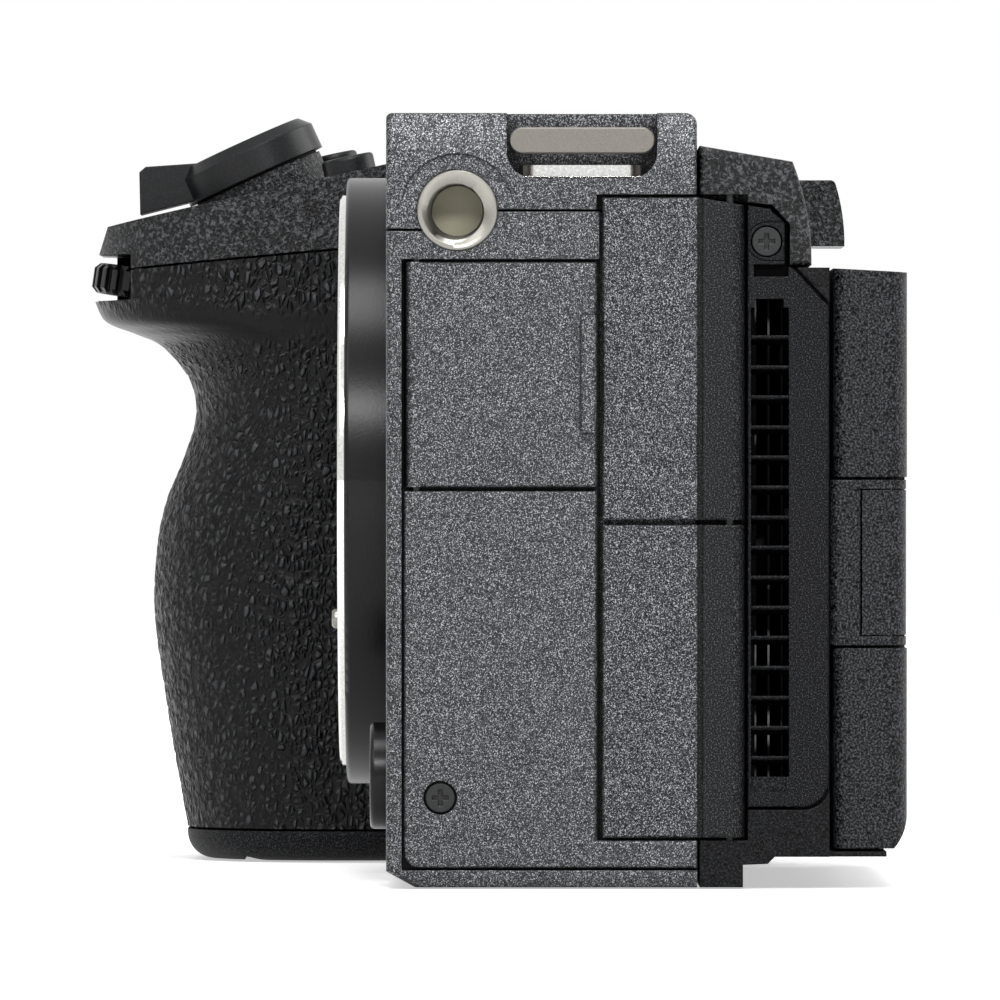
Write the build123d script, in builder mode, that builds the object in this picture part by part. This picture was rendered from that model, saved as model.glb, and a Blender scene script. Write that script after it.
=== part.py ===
from build123d import *
import os
from math import cos, radians, sin, tan

os.makedirs("parts", exist_ok=True)

# A box-shaped cinema camera body with a hand grip, seen from the operator's left in the reference.
# Millimetres. Z is up from the base, the lens looks along -Y and the connector side faces +X.
# The origin is the mouth of the tripod socket, straight under the lens axis.

# Overall sizes
body_height = 77.8
connector_x = 48.0
shell_left_x = -45.8
grip_outer_x = -81.7
grip_inner_x = -46.0
front_y = -15.65
shell_rear_y = 15.6
rear_face_y = 28.9
screen_rear_y = 36.8
lens_z = 40.9

# Walls and fits
wall = 2.4
side_wall = 5.0
seam = 0.25
gap = 0.3
running = 0.05
press = 0.02
clear_over = 2.2
clear_under = 9.3

# Lens mount
flange_front_y = -20.8
flange_radius = 29.7
flange_thick = 2.2
collar_front_y = -20.1
collar_radius = 31.5
throat_radius = 23.05
skirt_wall = 1.95
claw_reach = 1.2
claw_angle = 54
claw_count = 3
claw_thick = 1.4
claw_rear_y = -15.2
skirt_rear_y = -14.2
mount_screw_circle = 26.6
mount_screw_count = 6
mount_head_radius = 1.4
mount_head_height = 0.9
mount_shank_radius = 0.8
sensor_plane_y = flange_front_y + 18.0
lock_pin_radius = 1.0
lock_pin_angle = -32
lock_pin_proud = 0.6
lock_pin_back_y = -14.2
contact_count = 10
contact_step = 5.6
contact_circle = 21.5

# Threaded inserts for 1/4 inch screws
thread_bore_radius = 2.55
insert_radius = 4.03
insert_length = 8.0
insert_thread_depth = 6.5
side_insert_y = -8.5
side_insert_z = 68.0
side_dish_radius = 5.7
side_dish_tilt = 3.5
top_insert_x = (27.0, -27.0)
top_insert_y = 0.0
socket_radius = 6.0
socket_length = 7.6

# Top cover and strap lug
cover_split_front_z = 65.9
cover_split_z = 67.85
roof_z = 71.8
lug_y = (-3.5, 11.6)
lug_floor_z = 71.2
lug_depth = 4.6
lug_corner = 2.7
strap_bar_z = (73.7, 76.35)
strap_bar_thick = 1.6
strap_bar_end = 0.22
leg_radius = 1.1
far_lug_front_y = 0.0
far_bar_low_z = 70.4
lip_inset = 1.6
lip_lift = 0.17
lip_start = 1.9
lip_rise = 1.25
crown_low_z = 72.0
crown_drop = 0.8

# Accessory shoe
shoe_slot_width = 18.7
shoe_opening = 12.6
shoe_slot_height = 2.1
shoe_rail_thick = 1.3
shoe_wall = 1.2
shoe_length = 19.4
shoe_base_thick = 0.7

# Connector side panel and doors
panel_front_y = -13.84
panel_rear_y = 5.5
panel_low_z = 1.95
panel_top_z = 39.8
panel_thick = 2.0
panel_corner = 1.6
front_door_z = (40.2, 62.8)
rear_door_front_y = 6.1
rear_door_rear_y = 20.4
upper_door_z = (36.9, 69.3)
lower_door_z = (5.0, 36.4)
door_thick = 2.0
front_knuckle = 1.2
rear_knuckle = 1.5
door_pin_radius = 0.5
ridge_y = (3.9, 5.5)
ridge_z = (45.7, 57.4)
ridge_proud = 0.6

# Connectors behind the doors
jack_y = -3.5
jack_z = (46.6, 56.6)
jack_body_radius = 3.3
jack_bore_radius = 1.78
connector_y = 11.0
hdmi_z = 53.0
hdmi_size = (4.6, 14.0)
usb_c_z = 28.0
usb_c_size = (2.6, 8.4)
micro_usb_z = 14.0
micro_usb_size = (3.0, 7.6)
connector_depth = 11.0
connector_wall = 0.6

# Rear housing, vent and cooling
rear_near_x = connector_x - 0.3
rear_low_z = 3.06
rear_shoulder_z = 62.25
housing_edge_y = 24.68
rear_side_wall = 5.2
rear_back_wall = 2.0
thumb_face_y = 23.5
vent_y = (rear_door_rear_y + gap, 28.75)
vent_low_z = 8.1
vent_shoulder_z = 58.4
vent_neck = (25.2, 62.2)
vent_boss_y = 24.39
vent_boss_z = (62.5, 66.7)
vent_tip = (22.9, 68.15)
vent_top_z = 68.5
vent_thick = 1.5
vent_corner = 2.6
vent_seat_gap = 0.33
vent_window_y = (21.0, 24.82)
vent_window_z = (11.1, 58.25)
vent_step_y = (21.44, 24.3)
vent_step_z = 59.1
vent_blade_top_z = 55.44
vent_blade_pitch = 3.018
vent_blade_count = 15
vent_blade_lip = 0.22
vent_blade_drop = 0.71
vent_blade_thick = 0.38
vent_foot_z = 9.5
vent_slot_y = (21.29, 24.78)
vent_slot_z = (61.34, 62.58)
boss_line_radius = 1.88
boss_line_width = 0.12
boss_line_depth = 0.15
housing_window_y = (21.4, 25.2)
fan_x = -6.0
fan_z = 34.0
fan_radius = 14.0
fan_blade_count = 11
fan_hub_radius = 6.0
fan_thick = 6.0
fan_shaft_radius = 1.0
fan_front_y = 17.2
fin_thick = 0.2
fin_pitch = 1.34
sink_base_thick = 1.34
fin_count = 5
sink_x = (20.0, rear_near_x - rear_side_wall - 0.5)
sink_z = (9.0, 60.0)

# Vari-angle screen and its hinge
screen_front_y = 29.3
screen_x = (-31.0, rear_near_x - 1.5)
screen_z = (3.85, 61.8)
screen_top_rise = 0.4
screen_corner = 1.2
screen_near_round = 2.6
screen_foot_z = 7.4
glass_margin = (5.0, 5.5)
glass_thick = 0.5
hinge_z = (24.3, 40.92)
arm_half_thick = 2.25
hinge_pin_x = screen_x[1] - arm_half_thick
hinge_pin_y = screen_rear_y - 0.1 - arm_half_thick
arm_inner_x = screen_x[1] - 9.6
lug_plate_thick = 0.9
knuckle_gap = 0.12
hinge_pin_radius = 0.8
tilt_shaft_radius = 1.5
tilt_shaft_length = 6.0

# Hand grip: where the front ridge stands at each height, from the base up
grip_ridge = (
    (-36.6, 1.4),
    (-38.2, 3.2),
    (-40.3, 15.4),
    (-41.85, 29.3),
    (-40.6, 38.5),
    (-37.4, 48.5),
    (-39.2, 53.8),
    (-45.6, 57.8),
    (-48.2, 61.0),
    (-47.4, 66.1),
)
grip_section_count = 11
grip_outer_round = 12.0
grip_inner_round = 16.0
grip_back_y = -11.0
grip_wall = 2.4
grip_foot_z = 3.2
grip_seam_point = (-44.0, 64.0)
grip_seam_slope = 5.2
cap_back_seam_y = -15.0
cap_rear_y = 22.5
cap_front_low_y = -48.35
cap_front_top = (-46.7, 68.48)
cap_top_z = 75.2
cap_slope = 12.3

# Battery and cards
battery_size = (22.8, 38.7, 51.7)
battery_low_z = 3.0
battery_centre_x = -64.8
battery_front_y = -31.4
battery_door_x = (-78.6, -51.0)
battery_door_y = (-31.5, 9.0)
battery_door_z = (0.3, 2.5)
card_door_y = (-2.0, 15.2)
card_door_z = (16.0, 54.0)
card_door_thick = 1.8
card_knuckle = 1.2
card_slot_size = (30.0, 2.2, 24.6)
card_slot_pitch = 3.3
card_unit_y = (8.3, 15.2)
card_unit_z = (21.0, 49.0)

# Controls on the grip
release_tilt = 24.5
release_centre = (-65.8, -30.8, 74.2)
release_ring_radius = 7.9
release_ring_thick = 3.9
release_ring_bore = 5.2
release_travel = 0.8
lever_length = 5.4
lever_width = 6.4
button_travel = 0.8
record_button_place = (-72.0, -22.0)
record_button_size = (2.7, 3.0)
iso_button_place = (-55.0, -20.4)
iso_button_size = (2.85, 1.9)
front_dial_centre = (-65.8, -40.3, 62.07)
front_dial_radius = 8.4
front_dial_thick = 3.3
front_dial_tilt = 8.0
front_dial_ribs = 28
dial_slot_y = -44.1
dial_slot_z = (60.7, 65.5)
dial_slot_round = 1.1
dial_groove = (1.3, 1.1)
dial_chamfer = 0.6
dial_axle_radius = 1.0
rear_dial_centre = (-56.0, 15.6, 71.6)
rear_dial_radius = 8.6
rear_dial_thick = 3.4
rear_dial_ribs = 28
power_switch_centre = (-58.0, 3.0)
power_switch_size = (9.0, 4.6, 2.4)
power_switch_travel = 3.5
thumb_rest_x = (-80.0, -65.2)
thumb_rest_y = 33.4
thumb_rest_z = (66.6, 73.8)

# Controls on the back
wheel_centre = (-59.0, 30.0)
wheel_radius = 11.0
wheel_bore = 5.6
wheel_thick = 2.6
wheel_proud = 1.1
centre_button_radius = 5.2
stick_centre = (-55.0, 56.0)
stick_radius = 3.6
stick_opening = 5.2
menu_centre = (-71.5, 48.0)
playback_centre = (-71.0, 12.0)
back_button_radius = 2.6
lens_button_centre = (36.5, 11.0)
lens_button_radius = 5.4
lens_button_proud = 1.7

# Screws
screw_head_radius = 1.45
screw_cross = (1.65, 0.44)
screw_head_height = 1.0
screw_shank_radius = 0.8
screw_length = 5.0
panel_screw = (-10.2, 9.0)
vent_screw = (22.59, 64.88)
base_screw_spots = ((-38.0, -9.0), (-38.0, 11.0), (40.5, -7.0), (40.5, 11.0))

facing_front = (0, -1, 0)
facing_back = (0, 1, 0)


def save(piece, name):
    """Labels a finished piece and writes it under its own name."""
    piece.part.label = name
    export_step(piece.part, f"parts/{name}.step")


def block(x, y, z, mode=Mode.ADD):
    """A block between two values of X, two of Y and two of Z."""
    with Locations(((x[0] + x[1]) / 2, (y[0] + y[1]) / 2, (z[0] + z[1]) / 2)):
        Box(x[1] - x[0], y[1] - y[0], z[1] - z[0], mode=mode)


def rod(plane, radius, length, mode=Mode.ADD):
    """A round bar that stands on a plane and runs along its normal."""
    with BuildSketch(plane) as section:
        Circle(radius)
    extrude(section.sketch, amount=length, mode=mode)


def side_plate(points, x_from, x_to, mode=Mode.ADD):
    """An outline in Y and Z, carried along X."""
    with BuildSketch(Plane.YZ.offset(x_from)) as section:
        with BuildLine():
            Polyline(*points, close=True)
        make_face()
    extrude(section.sketch, amount=x_to - x_from, mode=mode)


def front_plane(x, y, z):
    """A plane square to the lens axis that faces the front."""
    return Plane(origin=(x, y, z), x_dir=(1, 0, 0), z_dir=facing_front)


def back_plane(x, y, z):
    """A plane square to the lens axis that faces the back."""
    return Plane(origin=(x, y, z), x_dir=(-1, 0, 0), z_dir=facing_back)


def leaning_plane(centre, angle):
    """A plane that faces up and leans to the front by an angle."""
    lean = radians(angle)
    return Plane(origin=centre, x_dir=(1, 0, 0), z_dir=(0, -sin(lean), cos(lean)))


def side_plane(x, y, z):
    """A plane that faces the connector side."""
    return Plane(origin=(x, y, z), x_dir=(0, 1, 0), z_dir=(1, 0, 0))


# Places that several pieces share
insert_hole = insert_radius + press
panel_back_x = connector_x - panel_thick
door_back_x = connector_x - door_thick
front_hinge = (connector_x - front_knuckle, panel_front_y + front_knuckle)
rear_hinge = (connector_x - rear_knuckle, rear_door_rear_y - rear_knuckle)
card_hinge = (grip_outer_x + card_knuckle, card_door_y[1] - card_knuckle)
battery_knuckle = (battery_door_z[1] - battery_door_z[0]) / 2
battery_hinge = (battery_door_x[1] - battery_knuckle, battery_door_z[0] + battery_knuckle)
cavity_right_x = connector_x - side_wall
rear_inner_x = rear_near_x - rear_side_wall
shoe_floor_z = body_height - shoe_rail_thick - shoe_slot_height - shoe_base_thick
shoe_half = shoe_slot_width / 2 + shoe_wall
shoe_front_y = shell_rear_y - shoe_length
lock_pin_circle = (throat_radius + flange_radius) / 2 + 0.3
lock_pin_x = lock_pin_circle * cos(radians(lock_pin_angle))
lock_pin_z = lens_z + lock_pin_circle * sin(radians(lock_pin_angle))
cap_flat_y = cap_front_top[0] + (cap_top_z - cap_front_top[1]) / tan(radians(cap_slope))
seam_rise = tan(radians(grip_seam_slope))
cap_back_seam_z = grip_seam_point[1] + (cap_back_seam_y - grip_seam_point[0]) * seam_rise


def cap_height(y):
    """Height of the grip's top surface at a place along Y."""
    return min(cap_top_z, cap_front_top[1] + (y - cap_front_top[0]) * tan(radians(cap_slope)))


# Main shell: the metal casting behind the lens mount, open at the top and the back
with BuildPart() as main_shell:
    side_plate(
        (
            (front_y, 1.6),
            (front_y + 2.9, 0),
            (shell_rear_y, 0),
            (shell_rear_y, cover_split_z),
            (side_insert_y, cover_split_z),
            (side_insert_y, cover_split_front_z),
            (front_y, cover_split_front_z),
        ),
        shell_left_x,
        connector_x,
    )
    side_face = main_shell.faces().sort_by(Axis.X)[-1]
    fillet(side_face.edges().filter_by(lambda e: e.center().Y < front_y + 1.5), 0.7)
    block(
        (shell_left_x + wall, cavity_right_x),
        (front_y + wall, shell_rear_y + 1),
        (wall, body_height),
        Mode.SUBTRACT,
    )
    rod(Plane.XY, socket_radius + 2.0, socket_length + 1.5)
    rod(Plane.XY, socket_radius + press, socket_length, Mode.SUBTRACT)
    # Lens throat through the front wall
    rod(
        front_plane(0, front_y + wall + 1, lens_z),
        throat_radius + skirt_wall + press,
        wall + 2,
        Mode.SUBTRACT,
    )
    rod(
        front_plane(lock_pin_x, front_y + wall + 1, lock_pin_z),
        lock_pin_radius + gap,
        wall + 2,
        Mode.SUBTRACT,
    )
    button_x, button_z = lens_button_centre
    rod(
        front_plane(button_x, front_y + wall + 1, button_z),
        lens_button_radius + gap,
        wall + 2,
        Mode.SUBTRACT,
    )
    # Shallow seat for the side panel and the doors
    block(
        (panel_back_x, connector_x + 1),
        (panel_front_y - seam, shell_rear_y + 1),
        (panel_low_z - seam, front_door_z[1] + seam),
        Mode.SUBTRACT,
    )
    block(
        (connector_x - 2 * front_knuckle - gap, connector_x + 1),
        (panel_front_y - seam, panel_rear_y + seam),
        (front_door_z[0] - gap, front_door_z[1] + gap),
        Mode.SUBTRACT,
    )
    block(
        (connector_x - 2 * rear_knuckle - gap, connector_x + 1),
        (panel_rear_y + seam, shell_rear_y + 1),
        (lower_door_z[0] - gap, body_height),
        Mode.SUBTRACT,
    )
    # Round seats of the two audio jacks and windows of the other connectors
    for z in jack_z:
        rod(side_plane(cavity_right_x - 1, jack_y, z), jack_body_radius + press, side_wall, Mode.SUBTRACT)
    for z, size in ((hdmi_z, hdmi_size), (usb_c_z, usb_c_size), (micro_usb_z, micro_usb_size)):
        half_y = size[0] / 2 + connector_wall + press
        half_z = size[1] / 2 + connector_wall + press
        block(
            (cavity_right_x - 1, connector_x),
            (connector_y - half_y, connector_y + half_y),
            (z - half_z, z + half_z),
            Mode.SUBTRACT,
        )
    rod(
        side_plane(connector_x + 1, side_insert_y, side_insert_z),
        insert_hole,
        -insert_length - 1,
        Mode.SUBTRACT,
    )
    rod(
        side_plane(connector_x, *panel_screw),
        screw_shank_radius + press,
        -screw_length - 0.5,
        Mode.SUBTRACT,
    )
    with BuildSketch(Plane.XY.offset(front_door_z[1])) as pin_seat:
        with Locations(front_hinge):
            Circle(door_pin_radius + press)
    extrude(pin_seat.sketch, amount=2.2, mode=Mode.SUBTRACT)
    for x, y in base_screw_spots:
        rod(
            Plane.XY.move(Location((x, y, 0))),
            screw_head_radius + press,
            screw_head_height + 0.2,
            Mode.SUBTRACT,
        )
        rod(Plane.XY.move(Location((x, y, 0))), screw_shank_radius + press, screw_length + 1, Mode.SUBTRACT)
save(main_shell, "main_shell")

# Top cover: closes the shell, with the strap pocket and the channel of the accessory shoe
with BuildPart() as top_cover:
    side_plate(
        (
            (front_y, cover_split_front_z + seam),
            (front_y, body_height),
            (shell_rear_y, body_height),
            (shell_rear_y, cover_split_z + seam),
            (side_insert_y, cover_split_z + seam),
            (side_insert_y, cover_split_front_z + seam),
        ),
        shell_left_x,
        connector_x,
    )
    rear_top_edge = top_cover.edges().filter_by(Axis.X).sort_by(Axis.Z)[-2:].sort_by(Axis.Y)[-1]
    fillet(rear_top_edge, 1.2)
    front_top_edge = top_cover.edges().filter_by(Axis.X).sort_by(Axis.Y)[:2].sort_by(Axis.Z)[-1]
    fillet(front_top_edge, 0.6)
    # The near side leans in towards the top
    with BuildSketch(Plane.XZ.offset(-shell_rear_y - 1)) as crown:
        with BuildLine():
            TangentArc((connector_x, crown_low_z), (connector_x - crown_drop, body_height), tangent=(0, 1))
            Line((connector_x - crown_drop, body_height), (connector_x + 1, body_height))
            Line((connector_x + 1, body_height), (connector_x + 1, crown_low_z))
            Line((connector_x + 1, crown_low_z), (connector_x, crown_low_z))
        make_face()
    extrude(crown.sketch, amount=shell_rear_y - front_y + 2, mode=Mode.SUBTRACT)
    near_rim = top_cover.edges().filter_by(
        lambda e: e.center().Z > body_height - 1.5 and e.center().X > connector_x - 1.2
    )
    fillet(near_rim, 0.5)
    block(
        (shell_left_x + wall, cavity_right_x - 2),
        (front_y + wall, shell_rear_y - wall),
        (cover_split_front_z - 1, roof_z),
        Mode.SUBTRACT,
    )
    for x in top_insert_x:
        rod(
            Plane.XY.offset(body_height - insert_length - 1.2).move(Location((x, top_insert_y, 0))),
            insert_radius + 1.65,
            5.0,
        )
        rod(
            Plane.XY.offset(body_height).move(Location((x, top_insert_y, 0))),
            insert_hole,
            -insert_length,
            Mode.SUBTRACT,
        )
    # Pocket behind the strap bar, open at the side and the top
    with BuildSketch(Plane.YZ.offset(connector_x - lug_depth)) as pocket:
        with Locations(((lug_y[0] + lug_y[1]) / 2, lug_floor_z + 5)):
            RectangleRounded(lug_y[1] - lug_y[0], 10, lug_corner)
        with Locations(((lug_y[0] + lug_y[1]) / 2, body_height)):
            Rectangle(lug_y[1] - lug_y[0], 6)
    extrude(pocket.sketch, amount=lug_depth + 1, mode=Mode.SUBTRACT)
    bar_mid_z = (strap_bar_z[0] + strap_bar_z[1]) / 2
    bar_half = (strap_bar_z[1] - strap_bar_z[0]) / 2
    for y in (lug_y[0] + strap_bar_end + bar_half, lug_y[1] - strap_bar_end - bar_half):
        rod(side_plane(connector_x - lug_depth, y, bar_mid_z), leg_radius + press, -3.0, Mode.SUBTRACT)
    block(
        (-shoe_half, shoe_half),
        (shoe_front_y, shell_rear_y + 1),
        (shoe_floor_z, body_height + 1),
        Mode.SUBTRACT,
    )
    rod(
        side_plane(connector_x + 1, side_insert_y, side_insert_z),
        insert_hole,
        -insert_length - 1,
        Mode.SUBTRACT,
    )
    # Shallow dish above the side thread, deepest at its top
    dish_lean = radians(side_dish_tilt)
    dish_plane = Plane(
        origin=(connector_x, side_insert_y, side_insert_z),
        x_dir=(0, 1, 0),
        z_dir=(cos(dish_lean), 0, sin(dish_lean)),
    )
    rod(dish_plane, side_dish_radius, 2, Mode.SUBTRACT)
    block(
        (connector_x - 2 * rear_knuckle - gap, connector_x + 1),
        (panel_rear_y, shell_rear_y + 1),
        (cover_split_z - 1, upper_door_z[1] + gap),
        Mode.SUBTRACT,
    )
save(top_cover, "top_cover")

# Side panel: the fixed lower plate of the connector side, with a strip under the rear doors
with BuildPart() as side_panel:
    side_plate(
        (
            (panel_front_y, panel_low_z),
            (shell_rear_y, panel_low_z),
            (shell_rear_y, lower_door_z[0] - gap),
            (panel_rear_y, lower_door_z[0] - gap),
            (panel_rear_y, panel_top_z),
            (panel_front_y, panel_top_z),
        ),
        panel_back_x,
        connector_x,
    )
    fillet(side_panel.edges().filter_by(Axis.X).group_by(Axis.Z)[0].sort_by(Axis.Y)[0], panel_corner)
    chamfer(side_panel.faces().sort_by(Axis.X)[-1].edges(), 0.2)
    rod(
        side_plane(connector_x, *panel_screw),
        screw_head_radius + 0.25,
        -screw_head_height - 0.3,
        Mode.SUBTRACT,
    )
    rod(side_plane(connector_x, *panel_screw), screw_shank_radius + press, -panel_thick, Mode.SUBTRACT)
    with BuildSketch(Plane.XY.offset(panel_top_z)) as pin_seat:
        with Locations(front_hinge):
            Circle(door_pin_radius + press)
    extrude(pin_seat.sketch, amount=-2.2, mode=Mode.SUBTRACT)
save(side_panel, "side_panel")


def door_leaf(name, y, z, hinge, knuckle, slope=0.0):
    """A connector door: a plate that ends in a full round about its upright hinge pin."""
    with BuildPart() as door:
        top_points = ((y[1], z[1] - slope), (shell_rear_y, z[1])) if slope else ((y[1], z[1]),)
        side_plate(((y[0], z[0]), (y[1], z[0]), *top_points, (y[0], z[1])), door_back_x, connector_x)
        chamfer(door.faces().sort_by(Axis.X)[-1].edges(), 0.2)
        with BuildSketch(Plane.XY.offset(z[0])) as barrel:
            with Locations(hinge):
                Circle(knuckle)
        extrude(barrel.sketch, amount=z[1] - slope - z[0])
        # The corner outside the barrel is cut round so that the door clears its seat when it opens
        edge_side = 1 if hinge[1] > (y[0] + y[1]) / 2 else -1
        with BuildSketch(Plane.XY.offset(z[0] - 1)) as corner:
            with Locations((hinge[0], hinge[1] + edge_side * knuckle)):
                Rectangle(2 * knuckle + 2, 2 * knuckle)
            with Locations(hinge):
                Circle(knuckle, mode=Mode.SUBTRACT)
        extrude(corner.sketch, amount=z[1] - z[0] + 2, mode=Mode.SUBTRACT)
        with BuildSketch(Plane.XY.offset(z[0] - 1)) as bore:
            with Locations(hinge):
                Circle(door_pin_radius + running)
        extrude(bore.sketch, amount=z[1] - z[0] + 2, mode=Mode.SUBTRACT)
        if name == "front_port_door":
            block((connector_x - 0.5, connector_x + ridge_proud), ridge_y, ridge_z)
            ridge_edges = door.edges().filter_by(Axis.Z).sort_by(Axis.X)[-2:]
            fillet(ridge_edges, 0.4)
        else:
            block(
                (connector_x - 0.6, connector_x + 1),
                (shell_rear_y, shell_rear_y + 0.6),
                (z[0] - 1, z[1] + 1),
                Mode.SUBTRACT,
            )
    save(door, name)


door_leaf("front_port_door", (panel_front_y, panel_rear_y), front_door_z, front_hinge, front_knuckle)
door_leaf(
    "upper_port_door",
    (rear_door_front_y, rear_door_rear_y),
    upper_door_z,
    rear_hinge,
    rear_knuckle,
    slope=0.8,
)
door_leaf("lower_port_door", (rear_door_front_y, rear_door_rear_y), lower_door_z, rear_hinge, rear_knuckle)


def vent_outline(x, grow=0.0):
    """The outline of the vent cover at a place along X, or the same outline grown for its seat."""
    with BuildSketch(Plane.YZ.offset(x)) as outline:
        with BuildLine():
            Polyline(
                (vent_y[0], vent_low_z),
                (vent_y[1], vent_low_z),
                (vent_y[1], vent_shoulder_z),
                vent_neck,
                (vent_boss_y, vent_boss_z[0]),
                (vent_boss_y, vent_boss_z[1]),
                vent_tip,
                (vent_y[0], vent_top_z),
                close=True,
            )
        make_face()
        fillet(outline.vertices().group_by(Axis.Y)[0].sort_by(Axis.X)[-1], vent_corner)
        if grow > 0:
            offset(amount=grow, kind=Kind.INTERSECTION)
    return outline.sketch


# Rear housing: the black moulding behind the shell, hollow for the fan and the heat sink
with BuildPart() as rear_housing:
    rear_front_y = shell_rear_y + seam
    side_plate(
        (
            (rear_front_y, 0),
            (20.2, 0),
            (20.2, 2.25),
            (22.7, 2.35),
            (23.4, rear_low_z),
            (rear_face_y, rear_low_z),
            (rear_face_y, rear_shoulder_z),
            (housing_edge_y, rear_shoulder_z),
            (housing_edge_y, 66.5),
            (22.9, 68.3),
            (rear_front_y, 69.1),
        ),
        shell_left_x,
        rear_near_x,
    )
    block(
        (grip_outer_x + 2.0, shell_left_x),
        (rear_front_y, thumb_face_y),
        (rear_low_z, cap_back_seam_z - seam),
    )
    thumb_edges = rear_housing.edges().filter_by(Axis.Z).sort_by(Axis.X)[:2].sort_by(Axis.Y)[-1]
    fillet(thumb_edges, 4.0)
    back_edges = rear_housing.edges().filter_by(Axis.Z).filter_by(lambda e: abs(e.center().Y - rear_face_y) < 0.1)
    fillet(back_edges.sort_by(Axis.X)[0], 4.0)
    # Ledge under the screen
    block(
        (screen_x[0] - 1, rear_near_x - 0.8),
        (rear_face_y - 0.5, screen_rear_y - 2.15),
        (rear_low_z, rear_low_z + 0.5),
    )
    block(
        (shell_left_x + wall, rear_inner_x),
        (rear_front_y - 1, rear_face_y - rear_back_wall),
        (6.0, rear_shoulder_z - rear_back_wall),
        Mode.SUBTRACT,
    )
    block(
        (connector_x - 2 * rear_knuckle - gap, connector_x + 1),
        (rear_front_y - 1, rear_door_rear_y + gap),
        (lower_door_z[0] - gap, body_height + clear_over),
        Mode.SUBTRACT,
    )
    # Seat and window of the vent cover
    extrude(
        vent_outline(rear_near_x - vent_thick, vent_seat_gap), amount=vent_thick + 1, mode=Mode.SUBTRACT
    )
    block(
        (rear_inner_x - 1, rear_near_x),
        housing_window_y,
        (vent_window_z[0] - 0.6, vent_step_z),
        Mode.SUBTRACT,
    )
    rod(
        side_plane(rear_near_x, *vent_screw), screw_shank_radius + press, -screw_length - 1.5, Mode.SUBTRACT
    )
    with BuildSketch(Plane.XY.offset(lower_door_z[0])) as pin_seat:
        with Locations(rear_hinge):
            Circle(door_pin_radius + press)
    extrude(pin_seat.sketch, amount=-2.5, mode=Mode.SUBTRACT)
    # Seats of the wheel, the stick and the two buttons on the thumb side
    wheel_x, wheel_z = wheel_centre
    rod(
        front_plane(wheel_x, thumb_face_y + 0.1, wheel_z),
        wheel_radius + gap,
        wheel_thick - wheel_proud + 0.3 + 0.1,
        Mode.SUBTRACT,
    )
    rod(front_plane(wheel_x, thumb_face_y + 0.1, wheel_z), centre_button_radius + gap, 4.6, Mode.SUBTRACT)
    stick_x, stick_z = stick_centre
    rod(front_plane(stick_x, thumb_face_y + 0.1, stick_z), stick_opening, 4.6, Mode.SUBTRACT)
    for x, z in (menu_centre, playback_centre):
        rod(front_plane(x, thumb_face_y + 0.1, z), back_button_radius + gap, 3.6, Mode.SUBTRACT)
save(rear_housing, "rear_housing")

# Rear top cover: the grained hood over the back edge
with BuildPart() as rear_top_cover:
    with BuildSketch(Plane.YZ.offset(shell_left_x)) as hood_profile:
        with BuildLine():
            Line((rear_front_y, 69.1 + seam), (rear_front_y, 74.5))
            Line((rear_front_y, 74.5), (25.2, 72.9))
            ThreePointArc((25.2, 72.9), (26.45, 68.8), (27.1, rear_shoulder_z + seam))
            Line((27.1, rear_shoulder_z + seam), (housing_edge_y + seam, rear_shoulder_z + seam))
            Line((housing_edge_y + seam, rear_shoulder_z + seam), (housing_edge_y + seam, 66.6))
            Line((housing_edge_y + seam, 66.6), (22.9 + seam, 68.3 + seam))
            Line((22.9 + seam, 68.3 + seam), (rear_front_y, 69.1 + seam))
        make_face()
    extrude(hood_profile.sketch, amount=rear_near_x - shell_left_x)
    hood_face = rear_top_cover.faces().sort_by(Axis.X)[-1]
    fillet(hood_face.edges().filter_by(lambda e: e.center().Z > 71.5 or e.center().Y > 26), 0.6)
    block(
        (connector_x - 2 * rear_knuckle - gap, connector_x + 1),
        (rear_front_y - 1, rear_door_rear_y + gap),
        (upper_door_z[1] - clear_under, upper_door_z[1] + gap),
        Mode.SUBTRACT,
    )
    with BuildSketch(Plane.XY.offset(upper_door_z[1])) as pin_seat:
        with Locations(rear_hinge):
            Circle(door_pin_radius + press)
    extrude(pin_seat.sketch, amount=2.0, mode=Mode.SUBTRACT)
    block((-shoe_half, shoe_half), (rear_front_y - 1, 30), (shoe_floor_z, body_height + clear_over), Mode.SUBTRACT)
save(rear_top_cover, "rear_top_cover")

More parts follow.
